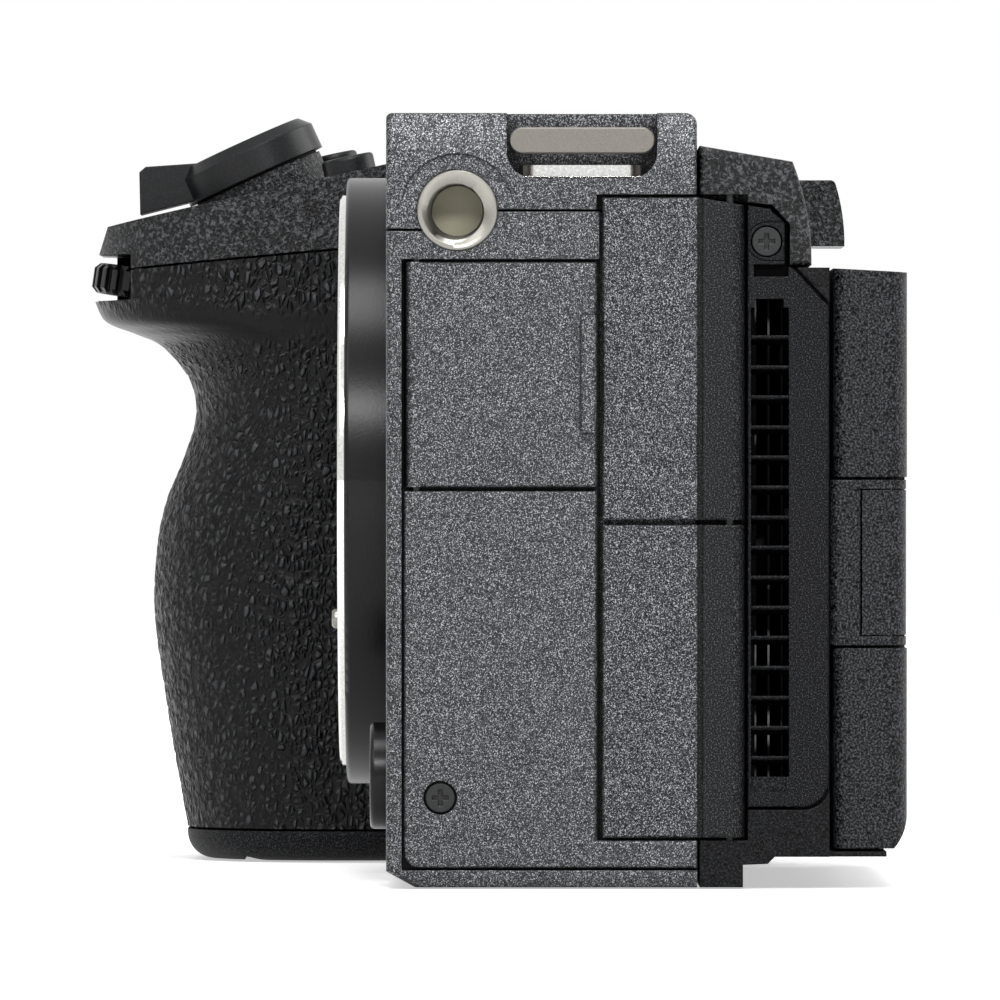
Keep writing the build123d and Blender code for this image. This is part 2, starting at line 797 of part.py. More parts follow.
# Vent cover: a plate with a column of slanting louvres
with BuildPart() as vent_cover:
    extrude(vent_outline(rear_near_x - vent_thick), amount=vent_thick)
    chamfer(vent_cover.faces().sort_by(Axis.X)[-1].edges(), 0.12)
    through_x = (rear_near_x - vent_thick - 1, rear_near_x + 1)
    block(through_x, vent_window_y, vent_window_z, Mode.SUBTRACT)
    block(through_x, vent_step_y, (vent_window_z[0], vent_step_z), Mode.SUBTRACT)
    for row in range(vent_blade_count):
        blade_z = vent_blade_top_z - row * vent_blade_pitch
        with BuildSketch(Plane.XZ.offset(-vent_window_y[0] + 0.1)) as blade:
            with BuildLine():
                Polyline(
                    (rear_near_x - 0.15, blade_z),
                    (rear_near_x - 0.15, blade_z - vent_blade_lip),
                    (rear_near_x - vent_thick, blade_z - vent_blade_lip - vent_blade_drop),
                    (
                        rear_near_x - vent_thick,
                        blade_z - vent_blade_lip - vent_blade_drop + vent_blade_thick,
                    ),
                    close=True,
                )
            make_face()
        extrude(blade.sketch, amount=-(vent_window_y[1] - vent_window_y[0] + 0.2))
    block(
        (rear_near_x - 0.5, rear_near_x + 1),
        (vent_window_y[0], vent_window_y[1] - 0.3),
        (vent_foot_z, vent_window_z[0]),
        Mode.SUBTRACT,
    )
    block((rear_near_x - 1.0, rear_near_x + 1), vent_slot_y, vent_slot_z, Mode.SUBTRACT)
    rod(
        side_plane(rear_near_x, *vent_screw),
        screw_head_radius + 0.15,
        -screw_head_height - 0.3,
        Mode.SUBTRACT,
    )
    rod(side_plane(rear_near_x, *vent_screw), screw_shank_radius + press, -vent_thick, Mode.SUBTRACT)
    # Fine line that runs round the screw and out to the edge
    with BuildSketch(side_plane(rear_near_x, *vent_screw)) as boss_line:
        Circle(boss_line_radius + boss_line_width)
        with Locations((boss_line_radius, 0)):
            Rectangle(2 * boss_line_radius, 2 * (boss_line_radius + boss_line_width))
        Circle(boss_line_radius, mode=Mode.SUBTRACT)
        with Locations((boss_line_radius, 0)):
            Rectangle(2 * boss_line_radius, 2 * boss_line_radius, mode=Mode.SUBTRACT)
    extrude(boss_line.sketch, amount=-boss_line_depth, mode=Mode.SUBTRACT)
save(vent_cover, "vent_cover")

# Heat sink: a base against the back wall and upright fins that show through the louvres
with BuildPart() as heat_sink:
    sink_back_y = rear_face_y - rear_back_wall - 0.1
    block(sink_x, (sink_back_y - sink_base_thick, sink_back_y), sink_z)
    for row in range(fin_count):
        fin_y = sink_back_y - sink_base_thick - fin_pitch * (row + 1)
        block(sink_x, (fin_y, fin_y + fin_thick), sink_z)
    block(
        (sink_x[0], sink_x[0] + 3.0),
        (sink_back_y - sink_base_thick - fin_pitch * fin_count, sink_back_y),
        (30, 38),
    )
save(heat_sink, "heat_sink")

# Blower: a scroll case with a round inlet and an outlet towards the heat sink
fan_case_thick = 8.0
fan_case_radius = fan_radius + 2.6
with BuildPart() as fan_housing:
    case_plane = back_plane(fan_x, fan_front_y, fan_z)
    with BuildSketch(case_plane) as case:
        Circle(fan_case_radius)
        with Locations((-fan_case_radius / 2, fan_case_radius * 0.55)):
            Rectangle(fan_case_radius + 10, fan_case_radius * 0.9)
    extrude(case.sketch, amount=fan_case_thick)
    with BuildSketch(back_plane(fan_x, fan_front_y + 0.9, fan_z)) as inside:
        Circle(fan_case_radius - 1.2)
        with Locations((-fan_case_radius / 2 - 2, fan_case_radius * 0.55)):
            Rectangle(fan_case_radius + 10, fan_case_radius * 0.9 - 2.4)
    extrude(inside.sketch, amount=fan_case_thick - 1.8, mode=Mode.SUBTRACT)
    rod(back_plane(fan_x, fan_front_y - 1, fan_z), fan_radius * 0.72, 3, Mode.SUBTRACT)
    rod(back_plane(fan_x, fan_front_y + 2.0, fan_z), fan_shaft_radius, fan_case_thick - 2.0)
    for corner_x, corner_z in ((-12.5, -12.5), (-12.5, 12.5), (12.5, -12.5)):
        rod(back_plane(fan_x + corner_x, fan_front_y + fan_case_thick - 1, fan_z + corner_z), 2.0, 2.4)
save(fan_housing, "fan_housing")

with BuildPart() as fan_rotor:
    rotor_front_y = fan_front_y + 1.1
    rotor_plane = back_plane(fan_x, rotor_front_y, fan_z)
    with BuildSketch(rotor_plane) as hub:
        Circle(fan_hub_radius)
        Circle(fan_shaft_radius + running, mode=Mode.SUBTRACT)
    extrude(hub.sketch, amount=fan_thick)
    with BuildSketch(back_plane(fan_x, rotor_front_y + fan_thick - 0.8, fan_z)) as disc:
        Circle(fan_radius)
        Circle(fan_shaft_radius + running, mode=Mode.SUBTRACT)
    extrude(disc.sketch, amount=0.8)
    with BuildSketch(rotor_plane) as blades:
        with PolarLocations(0, fan_blade_count):
            with BuildLine():
                outer_side = RadiusArc((fan_hub_radius - 0.5, 0), (fan_radius - 1.0, 5.0), 12)
                inner_side = RadiusArc((fan_hub_radius - 0.5, -0.7), (fan_radius - 0.6, 4.5), 12)
                Line(outer_side @ 0, inner_side @ 0)
                Line(outer_side @ 1, inner_side @ 1)
            make_face()
    extrude(blades.sketch, amount=fan_thick - 0.4)
save(fan_rotor, "fan_rotor")

# Mount collar: the black ring that carries the lens flange
with BuildPart() as mount_collar:
    rod(front_plane(0, front_y, lens_z), collar_radius, front_y - collar_front_y)
    fillet(mount_collar.faces().sort_by(Axis.Y)[0].edges(), 0.5)
    rod(front_plane(0, front_y + 1, lens_z), throat_radius + skirt_wall + press, 10, Mode.SUBTRACT)
    seat_y = flange_front_y + flange_thick
    rod(front_plane(0, seat_y, lens_z), flange_radius + press, 10, Mode.SUBTRACT)
    rod(front_plane(lock_pin_x, front_y + 1, lock_pin_z), lock_pin_radius + running, 10, Mode.SUBTRACT)
    with BuildSketch(front_plane(0, front_y - 0.6, lens_z)) as screw_holes:
        with PolarLocations(mount_screw_circle, mount_screw_count):
            Circle(mount_shank_radius + press)
    extrude(screw_holes.sketch, amount=10, mode=Mode.SUBTRACT)
save(mount_collar, "mount_collar")

# Lens flange: the polished seat with its inner skirt and three bayonet claws
with BuildPart() as lens_flange:
    rod(front_plane(0, seat_y, lens_z), flange_radius, flange_thick)
    rod(front_plane(0, skirt_rear_y, lens_z), throat_radius + skirt_wall, skirt_rear_y - seat_y)
    rod(front_plane(0, 0, lens_z), throat_radius, 30, Mode.SUBTRACT)
    chamfer(lens_flange.faces().sort_by(Axis.Y)[0].edges(), 0.25)
    with BuildSketch(front_plane(0, claw_rear_y, lens_z)) as claws:
        Circle(throat_radius + 0.6)
        Circle(throat_radius - claw_reach, mode=Mode.SUBTRACT)
        gap_half = throat_radius * 1.5 * tan(radians((360 / claw_count - claw_angle) / 2))
        with PolarLocations(0, claw_count, start_angle=270):
            Polygon(
                (0, 0),
                (throat_radius * 1.5, -gap_half),
                (throat_radius * 1.5, gap_half),
                align=None,
                mode=Mode.SUBTRACT,
            )
    extrude(claws.sketch, amount=claw_thick)
    with BuildSketch(front_plane(0, seat_y + 0.5, lens_z)) as screw_holes:
        with PolarLocations(mount_screw_circle, mount_screw_count):
            Circle(mount_shank_radius + press)
    extrude(screw_holes.sketch, amount=5, mode=Mode.SUBTRACT)
    with BuildSketch(front_plane(0, flange_front_y + mount_head_height, lens_z)) as head_seats:
        with PolarLocations(mount_screw_circle, mount_screw_count):
            Circle(mount_head_radius + press)
    extrude(head_seats.sketch, amount=5, mode=Mode.SUBTRACT)
    rod(front_plane(lock_pin_x, 0, lock_pin_z), lock_pin_radius + running, 30, Mode.SUBTRACT)
save(lens_flange, "lens_flange")

# Screws of the lens flange
with BuildPart() as mount_screws:
    with BuildSketch(front_plane(0, flange_front_y + mount_head_height, lens_z)) as screw_heads:
        with PolarLocations(mount_screw_circle, mount_screw_count):
            Circle(mount_head_radius)
    extrude(screw_heads.sketch, amount=mount_head_height - 0.1)
    with BuildSketch(front_plane(0, front_y - 0.8, lens_z)) as screw_shanks:
        with PolarLocations(mount_screw_circle, mount_screw_count):
            Circle(mount_shank_radius)
    extrude(screw_shanks.sketch, amount=front_y - 0.8 - flange_front_y - mount_head_height)
    with BuildSketch(front_plane(0, flange_front_y + 0.6, lens_z)) as driver_crosses:
        with PolarLocations(mount_screw_circle, mount_screw_count):
            Rectangle(1.7, 0.35)
            Rectangle(0.35, 1.7)
    extrude(driver_crosses.sketch, amount=2, mode=Mode.SUBTRACT)
save(mount_screws, "mount_screws")

# Contact block: a curved strip of sprung pins at the foot of the throat
with BuildPart() as mount_contacts:
    with BuildSketch(front_plane(0, -13.4, lens_z)) as strip:
        Circle(throat_radius - 0.15)
        Circle(throat_radius - 2.9, mode=Mode.SUBTRACT)
        strip_half = 40 * tan(radians(31))
        Polygon((0, 0), (-strip_half, -40), (strip_half, -40), align=None, mode=Mode.INTERSECT)
    extrude(strip.sketch, amount=3.0)
    with BuildSketch(front_plane(0, -16.4, lens_z)) as pins:
        for number in range(contact_count):
            pin_angle = radians(270 + (number - (contact_count - 1) / 2) * contact_step)
            with Locations((contact_circle * cos(pin_angle), contact_circle * sin(pin_angle))):
                Circle(0.5)
    extrude(pins.sketch, amount=0.5)
save(mount_contacts, "mount_contacts")

# Sensor frame: the light-tight box between the mount and the sensor, with its window
with BuildPart() as sensor_frame:
    tunnel_front_y = front_y + wall + 0.05
    block((-24, 24), (tunnel_front_y, sensor_plane_y + 2.4), (lens_z - 20, lens_z + 20))
    fillet(sensor_frame.edges().filter_by(Axis.Y), 3)
    block(
        (-22.6, 22.6),
        (tunnel_front_y - 1, sensor_plane_y + 0.8),
        (lens_z - 18.6, lens_z + 18.6),
        Mode.SUBTRACT,
    )
    block((-13, 13), (sensor_plane_y, sensor_plane_y + 3), (lens_z - 9.2, lens_z + 9.2), Mode.SUBTRACT)
save(sensor_frame, "sensor_frame")

# Image sensor: a ceramic package with the active area set back in it
with BuildPart() as image_sensor:
    block((-15.5, 15.5), (sensor_plane_y - 0.7, sensor_plane_y + 0.75), (lens_z - 12, lens_z + 12))
    chamfer(image_sensor.edges().filter_by(Axis.Y), 1.0)
    block((-11.8, 11.8), (sensor_plane_y - 1, sensor_plane_y), (lens_z - 7.9, lens_z + 7.9), Mode.SUBTRACT)
save(image_sensor, "image_sensor")

# Main board with its processor, memory and shield can
with BuildPart() as main_board:
    board_y = (3.0, 4.6)
    block((shell_left_x + wall + gap, cavity_right_x - gap), board_y, (10.0, 66.0))
    block((-16, 2), (board_y[1], board_y[1] + 1.4), (32, 50))
    for chip_x in (8, 20):
        block((chip_x, chip_x + 9), (board_y[1], board_y[1] + 1.1), (36, 50))
    block((-40, -22), (board_y[1], board_y[1] + 2.2), (22, 58))
    block((8, 30), (board_y[1], board_y[1] + 1.8), (16, 28))
save(main_board, "main_board")


def socket_shell(z, size):
    """A connector's metal shell with its mouth to the side and a tongue inside."""
    mouth_x = connector_x - 2 * rear_knuckle - gap - 0.1
    half_y = size[0] / 2
    half_z = size[1] / 2
    y = (connector_y - half_y, connector_y + half_y)
    depth = connector_depth - 2
    block(
        (mouth_x - connector_depth, mouth_x),
        (y[0] - connector_wall, y[1] + connector_wall),
        (z - half_z - connector_wall, z + half_z + connector_wall),
    )
    block((mouth_x - depth, mouth_x + 1), y, (z - half_z, z + half_z), Mode.SUBTRACT)
    block(
        (mouth_x - depth, mouth_x - 1.5),
        (connector_y - 0.4, connector_y + 0.4),
        (z - half_z + 1.4, z + half_z - 1.4),
    )


with BuildPart() as hdmi_socket:
    socket_shell(hdmi_z, hdmi_size)
save(hdmi_socket, "hdmi_socket")

with BuildPart() as usb_sockets:
    socket_shell(usb_c_z, usb_c_size)
    socket_shell(micro_usb_z, micro_usb_size)
save(usb_sockets, "usb_sockets")

# Audio jacks behind the front door
with BuildPart() as audio_jacks:
    jack_mouth_x = connector_x - 2 * front_knuckle - gap - 0.1
    for z in jack_z:
        rod(side_plane(jack_mouth_x, jack_y, z), jack_body_radius, -14.5)
        rod(side_plane(jack_mouth_x, jack_y, z), jack_bore_radius, -13.0, Mode.SUBTRACT)
save(audio_jacks, "audio_jacks")


def insert(plane, radius, length, depth, proud=0.0, mouth_depth=0.5):
    """A steel insert with a blind hole for a 1/4 inch screw, its mouth on the plane."""
    top = plane.offset(proud)
    rod(top, radius, -length - proud)
    if mouth_depth > 0:
        with BuildSketch(top) as mouth:
            Circle(thread_bore_radius + mouth_depth)
        extrude(mouth.sketch, amount=-mouth_depth, taper=45, mode=Mode.SUBTRACT)
    rod(top, thread_bore_radius, -depth - mouth_depth - proud, Mode.SUBTRACT)


with BuildPart() as side_thread_insert:
    insert(
        side_plane(connector_x, side_insert_y, side_insert_z),
        insert_radius,
        insert_length,
        insert_thread_depth,
        0.3,
    )
save(side_thread_insert, "side_thread_insert")

with BuildPart() as top_thread_inserts:
    for x in top_insert_x:
        top_spot = Plane(origin=(x, top_insert_y, body_height), x_dir=(1, 0, 0), z_dir=(0, 0, 1))
        insert(top_spot, insert_radius, insert_length, insert_thread_depth)
save(top_thread_inserts, "top_thread_inserts")

with BuildPart() as tripod_socket:
    base_spot = Plane(origin=(0, 0, 0), x_dir=(1, 0, 0), z_dir=(0, 0, -1))
    insert(base_spot, socket_radius, socket_length, insert_thread_depth, mouth_depth=0)
save(tripod_socket, "tripod_socket")

# Strap bars: a steel staple in each pocket, and the polished ramp under it
far_lug_y = (far_lug_front_y, far_lug_front_y + lug_y[1] - lug_y[0])
far_bar_z = (far_bar_low_z, far_bar_low_z + strap_bar_z[1] - strap_bar_z[0])


def staple(face_x, inward, y, z):
    """A rounded bar just under the surface with a leg at each end that runs into the housing."""
    half = (z[1] - z[0]) / 2
    mid_z = (z[0] + z[1]) / 2
    bar_x = face_x + inward * 0.2
    with BuildSketch(side_plane(bar_x, (y[0] + y[1]) / 2, mid_z)) as outline:
        SlotOverall(y[1] - y[0] - 2 * strap_bar_end, 2 * half)
    extrude(outline.sketch, amount=inward * strap_bar_thick)
    for leg_y in (y[0] + strap_bar_end + half, y[1] - strap_bar_end - half):
        rod(side_plane(bar_x, leg_y, mid_z), leg_radius, inward * (lug_depth + 2.7))


with BuildPart() as strap_bars:
    staple(connector_x, -1, lug_y, strap_bar_z)
    staple(grip_outer_x, 1, far_lug_y, far_bar_z)
    for end in (0, -1):
        chamfer(strap_bars.faces().sort_by(Axis.X)[end].edges(), 0.15)
save(strap_bars, "strap_bars")

with BuildPart() as strap_lips:
    for face_x, inward, y, floor_z in (
        (connector_x, -1, lug_y, lug_floor_z),
        (grip_outer_x, 1, far_lug_y, far_bar_z[0] - 2.5),
    ):
        with BuildSketch(Plane.XZ.offset(-y[0] - lip_inset)) as ramp:
            with BuildLine():
                Polyline(
                    (face_x + inward * lip_start, floor_z + lip_lift),
                    (face_x + inward * (lip_start + lip_rise), floor_z + lip_lift + lip_rise),
                    (face_x + inward * lug_depth, floor_z + lip_lift + lip_rise),
                    (face_x + inward * lug_depth, floor_z + lip_lift),
                    close=True,
                )
            make_face()
        extrude(ramp.sketch, amount=-(y[1] - y[0] - 2 * lip_inset))
save(strap_lips, "strap_lips")

# Accessory shoe: a folded channel with two inward rails, open at the back
with BuildPart() as accessory_shoe:
    shoe_mid_z = (shoe_floor_z + body_height) / 2
    with BuildSketch(Plane.XZ.offset(-shell_rear_y)) as channel:
        with Locations((0, shoe_mid_z)):
            Rectangle(2 * (shoe_half - press), body_height - shoe_floor_z - 0.05)
        with Locations((0, shoe_floor_z + shoe_base_thick + shoe_slot_height / 2)):
            Rectangle(shoe_slot_width, shoe_slot_height, mode=Mode.SUBTRACT)
        with Locations((0, body_height)):
            Rectangle(shoe_opening, 4 * shoe_rail_thick - 1.0, mode=Mode.SUBTRACT)
    extrude(channel.sketch, amount=shoe_length - 0.05)
    chamfer(accessory_shoe.edges().filter_by(Axis.X).group_by(Axis.Y)[-1], 0.2)
save(accessory_shoe, "accessory_shoe")


def cross_screw(plane, length):
    """A pan-head screw whose top lies on the plane, with a cross recess."""
    rod(plane, screw_head_radius, -screw_head_height)
    rod(plane, screw_shank_radius, -length)
    with BuildSketch(plane) as cross:
        Rectangle(*screw_cross)
        Rectangle(*screw_cross[::-1])
    extrude(cross.sketch, amount=-0.6, mode=Mode.SUBTRACT)


with BuildPart() as body_screws:
    cross_screw(side_plane(connector_x - 0.15, *panel_screw), screw_length)
    cross_screw(side_plane(rear_near_x - 0.15, *vent_screw), screw_length)
    for x, y in base_screw_spots:
        cross_screw(Plane(origin=(x, y, 0.1), x_dir=(1, 0, 0), z_dir=(0, 0, -1)), screw_length)
save(body_screws, "body_screws")


def grip_outline(front, back, inset=0.0):
    """The grip's plan at one height: flat nose, a tight outer corner and a wide inner corner."""
    outer = grip_outer_x + inset
    inner = grip_inner_x - inset
    outer_round = grip_outer_round - inset
    inner_round = grip_inner_round - inset
    with BuildLine() as outline:
        Line((outer, back), (outer, front + outer_round))
        RadiusArc((outer, front + outer_round), (outer + outer_round, front), -outer_round)
        Line((outer + outer_round, front), (inner - inner_round, front))
        RadiusArc((inner - inner_round, front), (inner, front + inner_round), -inner_round)
        Line((inner, front + inner_round), (inner, back))
        Line((inner, back), (outer, back))
    return outline.line


dial_plane = leaning_plane(front_dial_centre, -front_dial_tilt)


def cut_front_dial_slot():
    """The slot across the nose and the round pocket behind it, with the holes of the axle."""
    with BuildSketch(Plane.YZ.offset(grip_outer_x - 1)) as slot:
        with BuildLine():
            Polyline(
                (-60, dial_slot_z[0] - 0.6),
                (dial_slot_y, dial_slot_z[0]),
                (dial_slot_y, dial_slot_z[1]),
                (-60, dial_slot_z[1]),
                close=True,
            )
        make_face()
        fillet(slot.vertices().sort_by(Axis.X)[-2:].sort_by(Axis.Y)[0], dial_slot_round)
    extrude(slot.sketch, amount=grip_inner_x - grip_outer_x + 2, mode=Mode.SUBTRACT)
    half = front_dial_thick / 2 + 0.4
    rod(dial_plane.offset(-half), front_dial_radius + 0.5, 2 * half, Mode.SUBTRACT)
    rod(dial_plane.offset(-half - 2.0), dial_axle_radius + press, 2 * half + 4.0, Mode.SUBTRACT)


# Grip cover: the sculpted rubber skin of the hand grip
cavity_front_y = max(y for y, z in grip_ridge[1:]) + grip_wall
frame_front_top_z = 57.8
with BuildPart() as grip_cover:
    with BuildLine(Plane.YZ, mode=Mode.PRIVATE) as ridge:
        ridge_curve = Spline(*grip_ridge)
    for number in range(grip_section_count):
        ridge_point = ridge_curve @ (number / (grip_section_count - 1))
        with BuildSketch(Plane.XY.offset(ridge_point.Z)):
            make_face(grip_outline(ridge_point.Y, grip_back_y).edges())
    loft()
    split(bisect_by=Plane.XY.offset(grip_foot_z + seam), keep=Keep.TOP)
    seam_plane = Plane(
        origin=(0, grip_seam_point[0], grip_seam_point[1] - seam),
        x_dir=(1, 0, 0),
        z_dir=(0, -sin(radians(grip_seam_slope)), cos(radians(grip_seam_slope))),
    )
    split(bisect_by=seam_plane, keep=Keep.BOTTOM)
    with BuildSketch(Plane.XY.offset(grip_foot_z)) as inside:
        make_face(grip_outline(cavity_front_y, grip_back_y + 1, grip_wall).edges())
    extrude(inside.sketch, amount=frame_front_top_z + 0.2 - grip_foot_z, mode=Mode.SUBTRACT)
    cut_front_dial_slot()
save(grip_cover, "grip_cover")

# Grip frame: the inner moulding with the battery bay and the card bay
battery_x = (battery_centre_x - battery_size[0] / 2, battery_centre_x + battery_size[0] / 2)
battery_y = (battery_front_y, battery_front_y + battery_size[1])
battery_top_z = battery_low_z + battery_size[2]
frame_outer_x = grip_outer_x + 0.2
frame_low_z = grip_foot_z + seam
frame_rear_y = shell_rear_y - 0.15
frame_top_z = cap_back_seam_z - seam
with BuildPart() as grip_frame:
    with BuildSketch(Plane.XY.offset(frame_low_z)) as front_part:
        make_face(grip_outline(cavity_front_y + running, grip_back_y + 2, grip_wall + running).edges())
    extrude(front_part.sketch, amount=frame_front_top_z - frame_low_z)
    block(
        (frame_outer_x, grip_inner_x - seam), (grip_back_y + seam, frame_rear_y), (frame_low_z, frame_top_z)
    )
    with BuildSketch(Plane.XY.offset(frame_low_z - 1)) as bay:
        with Locations((battery_centre_x, (battery_y[0] + battery_y[1]) / 2)):
            RectangleRounded(battery_size[0] + 0.8, battery_size[1] + 0.8, 3.2)
    extrude(bay.sketch, amount=battery_top_z + 0.8 - frame_low_z + 1, mode=Mode.SUBTRACT)
    block(
        (card_hinge[0] + card_knuckle - 0.2, grip_inner_x - 1.2),
        (card_unit_y[0] - 0.2, frame_rear_y + 1),
        (card_unit_z[0] - 0.2, card_unit_z[1] + 0.2),
        Mode.SUBTRACT,
    )
    block(
        (grip_outer_x - 1, grip_outer_x + 2 * card_knuckle + gap),
        (card_door_y[0] - gap, frame_rear_y + 1),
        (card_door_z[0] - gap, card_door_z[1] + gap),
        Mode.SUBTRACT,
    )
    with BuildSketch(Plane.XY.offset(card_door_z[0] - 2.2)) as pin_seat:
        with Locations(card_hinge):
            Circle(door_pin_radius + press)
    extrude(pin_seat.sketch, amount=card_door_z[1] - card_door_z[0] + 4.4, mode=Mode.SUBTRACT)
save(grip_frame, "grip_frame")

# Base plate: the rounded foot of the grip with the opening of the battery door
with BuildPart() as base_plate:
    with BuildSketch() as foot:
        make_face(grip_outline(grip_ridge[1][0], frame_rear_y).edges())
    extrude(foot.sketch, amount=grip_foot_z)
    foot_edges = base_plate.faces().sort_by(Axis.Z)[0].edges()
    fillet(
        foot_edges.filter_by(
            lambda e: e.center().Y < frame_rear_y - 1 and e.center().X < grip_inner_x - 0.5
        ),
        2.9,
    )
    block(
        (battery_door_x[0] - gap, battery_door_x[1] + gap),
        (battery_door_y[0] - gap, battery_door_y[1] + gap),
        (-1, grip_foot_z + 1),
        Mode.SUBTRACT,
    )
    pin_run = (battery_door_y[0] - 1.8, battery_door_y[1] + 1.8)
    rod(
        back_plane(battery_hinge[0], pin_run[0], battery_hinge[1]),
        door_pin_radius + press,
        pin_run[1] - pin_run[0],
        Mode.SUBTRACT,
    )
save(base_plate, "base_plate")

# Grip top cap: the sloping grained cover with the release, the buttons and the dials
release_plane = leaning_plane(release_centre, release_tilt)
with BuildPart() as grip_top_cap:
    side_plate(
        (
            (cap_front_low_y, grip_seam_point[1] + (cap_front_low_y - grip_seam_point[0]) * seam_rise),
            cap_front_top,
            (cap_flat_y, cap_top_z),
            (cap_rear_y, cap_top_z),
            (cap_rear_y, cap_back_seam_z),
            (cap_back_seam_y, cap_back_seam_z),
        ),
        grip_outer_x,
        grip_inner_x,
    )
    with BuildSketch(Plane.XY.offset(50)) as plan:
        make_face(grip_outline(cap_front_low_y, cap_rear_y).edges())
    extrude(plan.sketch, amount=40, mode=Mode.INTERSECT)
    fillet(grip_top_cap.edges().filter_by(Axis.Z).sort_by(Axis.Y)[-2:].sort_by(Axis.X)[0], 4.0)
    rod(release_plane.offset(-7), release_ring_radius - 0.5, 7 - gap)
    rod(release_plane.offset(-3.3), release_ring_bore - 0.1, 4, Mode.SUBTRACT)
    cut_front_dial_slot()
    for place, size in ((record_button_place, record_button_size), (iso_button_place, iso_button_size)):
        spot = leaning_plane((place[0], place[1], cap_height(place[1])), cap_slope)
        rod(spot.offset(-3.4), size[0] + gap, 6, Mode.SUBTRACT)
    dial_x, dial_y, dial_z = rear_dial_centre
    dial_half = rear_dial_thick / 2
    rear_dial_plane = Plane(origin=(dial_x, dial_y, dial_z - dial_half), x_dir=(1, 0, 0), z_dir=(0, 0, 1))
    rod(rear_dial_plane.offset(-0.4), rear_dial_radius + 0.5, rear_dial_thick + 0.8, Mode.SUBTRACT)
    block(
        (dial_x - rear_dial_radius - 0.5, dial_x + rear_dial_radius + 0.5),
        (dial_y + 4, 30),
        (dial_z - dial_half - 0.4, dial_z + dial_half + 0.4),
        Mode.SUBTRACT,
    )
    rod(rear_dial_plane.offset(-2.4), dial_axle_radius + press, rear_dial_thick + 3.6, Mode.SUBTRACT)
    switch_x, switch_y = power_switch_centre
    block(
        (
            switch_x - power_switch_size[0] / 2 - gap,
            switch_x + power_switch_size[0] / 2 + power_switch_travel + gap,
        ),
        (switch_y - power_switch_size[1] / 2 - gap, switch_y + power_switch_size[1] / 2 + gap),
        (cap_top_z - 1.3, cap_top_z + 1),
        Mode.SUBTRACT,
    )
    # Strap pocket on the grip side
    with BuildSketch(Plane.YZ.offset(grip_outer_x - 1)) as far_pocket:
        with Locations(((far_lug_y[0] + far_lug_y[1]) / 2, far_bar_z[0] - 2.5 + 5)):
            RectangleRounded(far_lug_y[1] - far_lug_y[0], 10, lug_corner)
    extrude(far_pocket.sketch, amount=lug_depth + 1, mode=Mode.SUBTRACT)
    for y in (far_lug_y[0] + strap_bar_end + bar_half, far_lug_y[1] - strap_bar_end - bar_half):
        rod(
            side_plane(grip_outer_x + lug_depth, y, (far_bar_z[0] + far_bar_z[1]) / 2),
            leg_radius + press,
            3.0,
            Mode.SUBTRACT,
        )
save(grip_top_cap, "grip_top_cap")

# Thumb rest: the ledge at the back of the cap
with BuildPart() as thumb_rest:
    low_z, high_z = thumb_rest_z
    with BuildSketch(Plane.YZ.offset(thumb_rest_x[0])) as ledge:
        with BuildLine():
            Polyline(
                (thumb_rest_y, low_z),
                (cap_rear_y + 0.05, low_z),
                (cap_rear_y + 0.05, high_z),
                (thumb_rest_y - 1.1, high_z),
            )
            ThreePointArc(
                (thumb_rest_y - 1.1, high_z),
                (thumb_rest_y - 0.25, (low_z + high_z) / 2),
                (thumb_rest_y, low_z),
            )
        make_face()
    extrude(ledge.sketch, amount=thumb_rest_x[1] - thumb_rest_x[0])
    fillet(thumb_rest.edges().filter_by(Axis.X).sort_by(Axis.Y)[-2:].sort_by(Axis.Z)[-1], 0.6)
save(thumb_rest, "thumb_rest")

# Battery pack with its rounded edges
with BuildPart() as battery:
    with BuildSketch(Plane.XY.offset(battery_low_z)) as pack_plan:
        with Locations((battery_centre_x, (battery_y[0] + battery_y[1]) / 2)):
            RectangleRounded(battery_size[0], battery_size[1], 3.0)
    extrude(pack_plan.sketch, amount=battery_size[2])
    chamfer(battery.faces().sort_by(Axis.Z)[0].edges(), 0.5)
    for contact_y in (-22, -17, -12):
        block(
            (battery_x[0] - 1, battery_x[0] + 0.8),
            (contact_y, contact_y + 2.4),
            (battery_top_z - 6, battery_top_z + 1),
            Mode.SUBTRACT,
        )
save(battery, "battery")

# Battery door with its full-round hinge edge and the pocket of the latch
latch_x = (-77.0, -73.0)
latch_y = (-15.0, -8.0)
latch_travel = 2.5
with BuildPart() as battery_door:
    block((battery_door_x[0], battery_hinge[0]), battery_door_y, battery_door_z)
    fillet(battery_door.edges().filter_by(Axis.Z).sort_by(Axis.X)[:2], 2.0)
    rod(
        back_plane(battery_hinge[0], battery_door_y[0], battery_hinge[1]),
        battery_knuckle,
        battery_door_y[1] - battery_door_y[0],
    )
    rod(
        back_plane(battery_hinge[0], battery_door_y[0] - 1, battery_hinge[1]),
        door_pin_radius + running,
        60,
        Mode.SUBTRACT,
    )
    block(
        (latch_x[0] - gap, latch_x[1] + latch_travel + gap),
        (latch_y[0] - gap, latch_y[1] + gap),
        (battery_door_z[0] - 1, battery_door_z[0] + 1.5),
        Mode.SUBTRACT,
    )
save(battery_door, "battery_door")

with BuildPart() as battery_latch:
    block(latch_x, latch_y, (battery_door_z[0] + 0.05, battery_door_z[0] + 1.2))
    for groove in range(3):
        groove_x = latch_x[0] + 0.8 + groove * 1.0
        block(
            (groove_x, groove_x + 0.4),
            latch_y,
            (battery_door_z[0] - 1, battery_door_z[0] + 0.35),
            Mode.SUBTRACT,
        )
save(battery_latch, "battery_latch")

